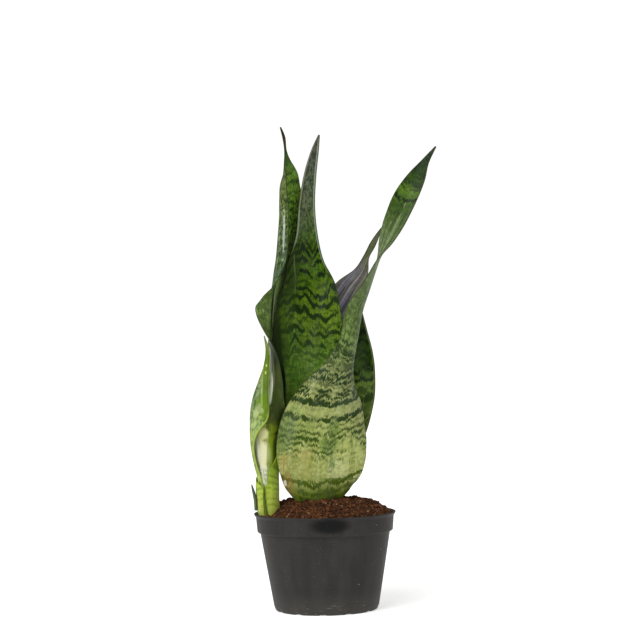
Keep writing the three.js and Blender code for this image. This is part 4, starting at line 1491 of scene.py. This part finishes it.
        # Painted dark reflection: a near-black oval on the front of the rim band, where the plastic is also a
        # little glossier.
        dark_reflection = sheet.oval(zip((x, z), self.dark_reflection_middle, self.dark_reflection_reach))
        dark_reflection = sheet.times(sheet.step(dark_reflection, *DARK_REFLECTION_EDGE), front)
        colour = sheet.mix(sheet.step(sheen, *SHEEN_EDGE), "2a2827", "32302e")
        colour = sheet.mix(sheet.times(dark_reflection, DARK_REFLECTION_COVER), colour, "0a0b0c")
        colour = sheet.mix(self.soiling(made, place, z), colour, "a39c92")
        rough = sheet.scaled(dark_reflection, DARK_REFLECTION_GLOSS, sheet.step(sheen, *SHEEN_ROUGHNESS))
        away = sheet.math("SQRT", sheet.oval(zip((x, z), self.mark_middle, (1.0, 1.0))))
        ring = sheet.step(sheet.math("ABSOLUTE", sheet.minus(away, self.mark_radius)), *MARK_EDGE)
        grain = sheet.times(sheet.noise(place, POT_GRAIN), GRAIN_HEIGHT)
        height = sheet.scaled(sheet.times(ring, front), MARK_HEIGHT, grain)
        return made.dress(colour, rough, height, POT_RELIEF)

    def soiling(self, made: Finish, place: Socket, z: Socket) -> Socket:
        """Draw the scuffs, specks and dust on the plastic.

        Args:
            made: The plastic.
            place: The position.
            z: Its height, in metres.

        Returns:
            How much of the dust's colour shows.
        """
        sheet = made.sheet
        rubbed = sheet.step(sheet.noise(place, POT_SCUFFS), *SCUFF_EDGE)
        scuff = sheet.times(rubbed, sheet.step(z, *SCUFF_HEIGHTS))
        coarse = made.specked(place, 260.0, 0.16, 0.03)
        fine = made.specked(place, 700.0, 0.22, 0.04)
        soiled = sheet.most(sheet.times(scuff, SCUFF_COVER), sheet.times(coarse, SPECK_COVER))
        soiled = sheet.most(soiled, sheet.times(fine, DUST_COVER), clamp=True)
        return sheet.most(soiled, sheet.step(z, *DUST_HEIGHTS))

    def build(self) -> bpy.types.Object:
        """Make and seat the pot."""
        pot = finished("nursery_pot", self.shell(), self.plastic())
        self.drill(pot)
        return seat(pot, "pot", "pot")


# ------------------------------------------------------------------ soil

# Noises of the soil, in metres.
SOIL_CLODS = Lumps(0.0042, 0.0042, 0.0042, 4.0, 0.65)
SOIL_GRAIN = Lumps(0.0009, 0.0009, 0.0009, 3.0, 0.65)
GRAIN_MOTTLE = Lumps(0.0005, 0.0005, 0.0005, 2.0, 0.6)

# Unevenness of the soil's top: how many per mm, how high in mm, and which layer of the noise.
CRUMBLES = ((0.22, 0.9, 1.7), (0.5, 0.75, 5.1), (1.15, 0.5, 9.4))

GRAIN_SHADES = (0.0, 0.55, 1.0)
GRAINS_AT_ONCE = 80
SOIL_RELIEF, GRAIN_RELIEF = 0.0011, 0.0002


class Grain(Enum):
    """Kinds of loose grain on the soil: name, how many, smallest and largest size in mm, stretch, colours."""

    COARSE = ("soil_crumbs", 950, 1.7, 3.4, 1.3, ("29170c", "492b16", "6a4127"))
    FINE = ("soil_grains", 6200, 0.7, 1.6, 1.25, ("23130a", "55331b", "7c502e"))
    BARK = ("soil_bark", 210, 1.0, 1.9, 3.4, ("3a2417", "6a4630", "94694a"))
    GRIT = ("soil_grit", 130, 0.5, 1.1, 1.1, ("b39b80", "cbb79c", "e6dccb"))


@dataclass
class PottingSoil:
    """The heaped soil: one bed with thousands of loose grains on it. Sizes in mm."""

    radius: float = 56.7
    edge: float = 79.5
    heap: float = 12.5
    roundness: float = 4.5
    hollow: float = 7.0
    hollow_middle: tuple[float, float] = (-44.0, -14.0)
    hollow_reach: float = 13.0
    crumb: float = 0.7
    bottom: float = 2.7
    rings: int = 84
    segments: int = 240
    wall: tuple[tuple[float, float], ...] = (
        (40.7, 2.7), (42.9, 4.6), (53.2, 66.0), (55.8, 68.4), (56.6, 78.0),
    )

    def level(self, x: float, y: float) -> float:
        """Height of the soil's top without its crumbs.

        Args:
            x: Place in mm.
            y: Place in mm.

        Returns:
            The height in mm.
        """
        share = min(math.hypot(x, y) / self.radius, 1.0)
        heap = self.heap * (1 - share ** self.roundness)
        left, front = self.hollow_middle
        dip = self.hollow * math.exp(-((x - left) ** 2 + (y - front) ** 2) / (2 * self.hollow_reach ** 2))
        wave = (math.sin(0.41 * x + 1.3) * math.cos(0.37 * y) + math.sin(0.83 * x - 0.6 * y)
                + 0.7 * math.cos(0.29 * x + 0.97 * y))
        return self.edge + max(heap - dip, 0.0) + self.crumb * wave * (1 - share ** 8)

    def top(self, x: float, y: float) -> float:
        """Height of the soil's top with its crumbs, in mm."""
        share = min(math.hypot(x, y) / self.radius, 1.0)
        rough = sum(high * noise.noise(Vector((x * fine, y * fine, layer))) for fine, high, layer in CRUMBLES)
        return self.level(x, y) + rough * (1 - 0.75 * share ** 6)

    def bed(self) -> bpy.types.Object:
        """Turn and heap the bed.

        Returns:
            The object.
        """
        above = 200.0
        top = [(self.radius * ring / self.rings, above) for ring in range(self.rings + 1)]
        bm = chain([*top, *reversed(self.wall), (0.0, self.bottom)])
        turn(bm, self.segments)
        for vert in bm.verts:
            if vert.co.z > 0.75 * above * MM:
                vert.co.z = self.top(vert.co.x / MM, vert.co.y / MM) * MM
        bmesh.ops.recalc_face_normals(bm, faces=bm.faces)
        return seat(finished("soil_bed", bm, self.bed_finish()), "soil", "soil")

    def bed_finish(self) -> bpy.types.Material:
        """The dark crumbly finish of the bed, with a few pale specks."""
        made = Finish("potting soil", Specular_IOR_Level=0.15)
        sheet = made.sheet
        place = sheet.place()
        both = sheet.weigh(sheet.noise(place, SOIL_GRAIN), 0.55, sheet.noise(place, SOIL_CLODS))
        colour = sheet.ramp(both, [(0.34, "190d06"), (0.47, "392110"), (0.56, "58371e"), (0.68, "7a522f")])
        colour = sheet.mix(sheet.times(made.specked(place, 420.0, 0.3, 0.035), 0.7), colour, "b59c80")
        return made.dress(colour, 0.95, both, SOIL_RELIEF)

    def grain_finish(self, grain: Grain) -> bpy.types.Material:
        """The finish of one kind of grain, with each grain in its own shade."""
        name, *_, colours = grain.value
        made = Finish(name, Specular_IOR_Level=0.15)
        sheet = made.sheet
        colour = sheet.ramp(sheet.attribute("grain_shade", "Fac"), list(zip(GRAIN_SHADES, colours)))
        mottle = sheet.noise(sheet.place(), GRAIN_MOTTLE)
        lift = sheet.step(mottle, 0.3, 0.7, 0.72, 1.2)
        colour = sheet.mix(1.0, colour, sheet.join(lift, lift, lift), "MULTIPLY")
        return made.dress(colour, 0.92, mottle, GRAIN_RELIEF)

    def grains(self, grain: Grain) -> bpy.types.Object:
        """Scatter one kind of grain over the bed.

        Args:
            grain: The kind.

        Returns:
            The object that holds them all.
        """
        name, count, small, large, stretch, _ = grain.value
        draw = random.Random(name)
        bm = bmesh.new()
        bm.verts.layers.float.new("grain_shade")
        batch = bpy.data.meshes.new(name + "_batch")
        for start in range(0, count, GRAINS_AT_ONCE):
            part = bmesh.new()
            shade = part.verts.layers.float.new("grain_shade")
            for _ in range(start, min(start + GRAINS_AT_ONCE, count)):
                self.drop(part, shade, draw, draw.uniform(small, large) / 2, stretch)
            part.to_mesh(batch)
            part.free()
            bm.from_mesh(batch)
        bpy.data.meshes.remove(batch)
        return seat(finished(name, bm, self.grain_finish(grain), smooth=False), "soil")

    def drop(
        self, bm: bmesh.types.BMesh, shade: Any, draw: random.Random, size: float, stretch: float,
    ) -> None:
        """Drop one grain on the bed.

        Args:
            bm: Where the grain is made.
            shade: The layer for the grain's shade.
            draw: The random draw.
            size: The grain's radius in mm.
            stretch: How much longer than wide it is.
        """
        reach = (self.radius - size) * math.sqrt(draw.random())
        angle = draw.uniform(0, 2 * math.pi)
        x, y = reach * math.cos(angle), reach * math.sin(angle)
        spot = Vector((x, y, self.top(x, y) + size * draw.uniform(-0.35, 0.5))) * MM
        turned = Matrix.Rotation(draw.uniform(0, 2 * math.pi), 4, "Z")
        tilted = Matrix.Rotation(draw.uniform(-0.5, 0.5), 4, "Y")
        long, wide, high = stretch * draw.uniform(0.8, 1.2), draw.uniform(0.75, 1.1), draw.uniform(0.6, 1.0)
        lie = Matrix.Translation(spot) @ (turned @ tilted) @ Matrix.Diagonal((long, wide, high, 1))
        made = bmesh.ops.create_icosphere(bm, subdivisions=1, radius=size * MM, matrix=lie)
        tone = draw.random() ** 1.2
        for vert in made["verts"]:
            vert[shade] = tone
            vert.co += Vector([draw.uniform(-1, 1) for _ in range(3)]) * size * 0.2 * MM

    def build(self) -> list[bpy.types.Object]:
        """Make and seat the bed and its grains."""
        return [self.bed(), *(self.grains(grain) for grain in Grain)]


# ------------------------------------------------------------------ rhizome

# Noises on the rhizome, in metres: rings round it and fibres along it.
ROOT_RINGS = Lumps(0.0018, 0.02, 0.02, 3.0, 0.6)
ROOT_FIBRES = Lumps(0.012, 0.0011, 0.0011, 3.0, 0.6)
ROOT_RELIEF = 0.0004


@dataclass
class Rhizome:
    """The buried root stock, which keeps the part's own shape."""

    node: str = "rhizome"

    def build(self) -> bpy.types.Object:
        """Give the node its fibrous straw-coloured skin."""
        made = Finish("rhizome skin", Specular_IOR_Level=0.2)
        sheet = made.sheet
        place = sheet.place()
        both = sheet.weigh(sheet.noise(place, ROOT_RINGS), 0.6, sheet.noise(place, ROOT_FIBRES))
        colour = sheet.ramp(both, [(0.35, "7a5a2c"), (0.5, "b89456"), (0.66, "dcc48c")])
        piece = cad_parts[self.node]
        piece.data.materials.clear()
        piece.data.materials.append(made.dress(colour, 0.8, both, ROOT_RELIEF))
        LOG.info("%s: kept, with its own finish", self.node)
        return piece


# ------------------------------------------------------------------ studio


def facing(back: Vector) -> Any:
    """Work out how a lamp is turned, from the direction that its back points to."""
    return back.to_track_quat("Z", "Y").to_euler()


@dataclass(frozen=True)
class Lamp:
    """A soft square lamp: its name, place and side in metres, and power in watts."""

    name: str
    place: Triple
    side: float
    power: float


@dataclass
class Studio:
    """The pale floor, the soft light and the camera. Sizes in metres."""

    distance: float = 1.75
    eye: float = 0.244
    seen_width: float = 0.5408
    sensor: float = 36.0
    roll: float = 1.2
    sideways: float = -0.00125
    floor_radius: float = 14.0
    floor_drop: float = 0.0002
    floor_grain: Lumps = Lumps(0.02, 0.02, 0.02)
    sun_power: float = 1.6
    sun_spread: float = 40.0
    sun_from: Triple = (-0.5, -0.8, 0.85)
    room_power: float = 0.42
    backdrop_extra: float = 0.63
    aim: Triple = (0.0, 0.0, 0.2)
    lamps: tuple[Lamp, ...] = (
        Lamp("front left", (-1.3, -1.7, 1.3), 0.9, 12.0),
        Lamp("front right", (1.6, -1.3, 0.9), 0.8, 6.0),
    )

    def camera(self) -> None:
        """Place the camera level, straight in front of the pot."""
        lens = bpy.data.cameras.new("camera")
        lens.sensor_width = self.sensor
        lens.lens = self.sensor * self.distance / self.seen_width
        lens.shift_x = self.sideways
        lens.clip_end = 50
        eye = added("camera", lens)
        eye.location = (0, -self.distance, self.eye)
        eye.rotation_euler = (math.radians(90), math.radians(self.roll), 0)
        bpy.context.scene.camera = eye

    def floor(self) -> None:
        """Lay the pale floor."""
        bm = bmesh.new()
        bmesh.ops.create_circle(bm, cap_ends=True, segments=96, radius=self.floor_radius,
                                matrix=Matrix.Translation((0, 0, -self.floor_drop)))
        made = Finish("pale floor", Specular_IOR_Level=0.1, Emission_Color="ffffff", Emission_Strength=0.5)
        grain = made.sheet.noise(made.sheet.place(), self.floor_grain)
        finished("floor", bm, made.dress(made.sheet.mix(grain, "f4f4f2", "fafaf9"), 0.8))

    def room(self) -> None:
        """Make the room white: soft light all round, and a brighter backdrop."""
        world = bpy.data.worlds.new("white room")
        bpy.context.scene.world = world
        world.use_nodes = True
        sheet = Sheet(world.node_tree)
        seen = sheet.node("ShaderNodeLightPath").outputs["Is Camera Ray"]
        back = world.node_tree.nodes["Background"]
        sheet.feed(back.inputs["Color"], "ffffff")
        sheet.feed(back.inputs["Strength"], sheet.scaled(seen, self.backdrop_extra, self.room_power))

    def light(self) -> None:
        """Set a broad sun and the soft lamps, which look at the plant."""
        sun = bpy.data.lights.new("broad sun", "SUN")
        sun.energy, sun.angle = self.sun_power, math.radians(self.sun_spread)
        added("broad sun", sun).rotation_euler = facing(Vector(self.sun_from))
        for lamp in self.lamps:
            light = bpy.data.lights.new(lamp.name, "AREA")
            light.shape, light.size, light.energy = "SQUARE", lamp.side, lamp.power
            hung = added(lamp.name, light)
            hung.location = lamp.place
            hung.rotation_euler = facing(Vector(lamp.place) - Vector(self.aim))

    def build(self) -> None:
        """Set up the whole studio."""
        bpy.context.scene.view_settings.view_transform = "Standard"
        self.camera()
        self.floor()
        self.room()
        self.light()


def main() -> None:
    """Build the plant, its pot and the studio."""
    logging.basicConfig(level=logging.INFO, format="%(name)s %(message)s")
    Studio().build()
    NurseryPot().build()
    PottingSoil().build()
    Rhizome().build()
    for leaf in leaves():
        leaf.build()
    LOG.info("sizes written")


if __name__ == "__main__":
    main()
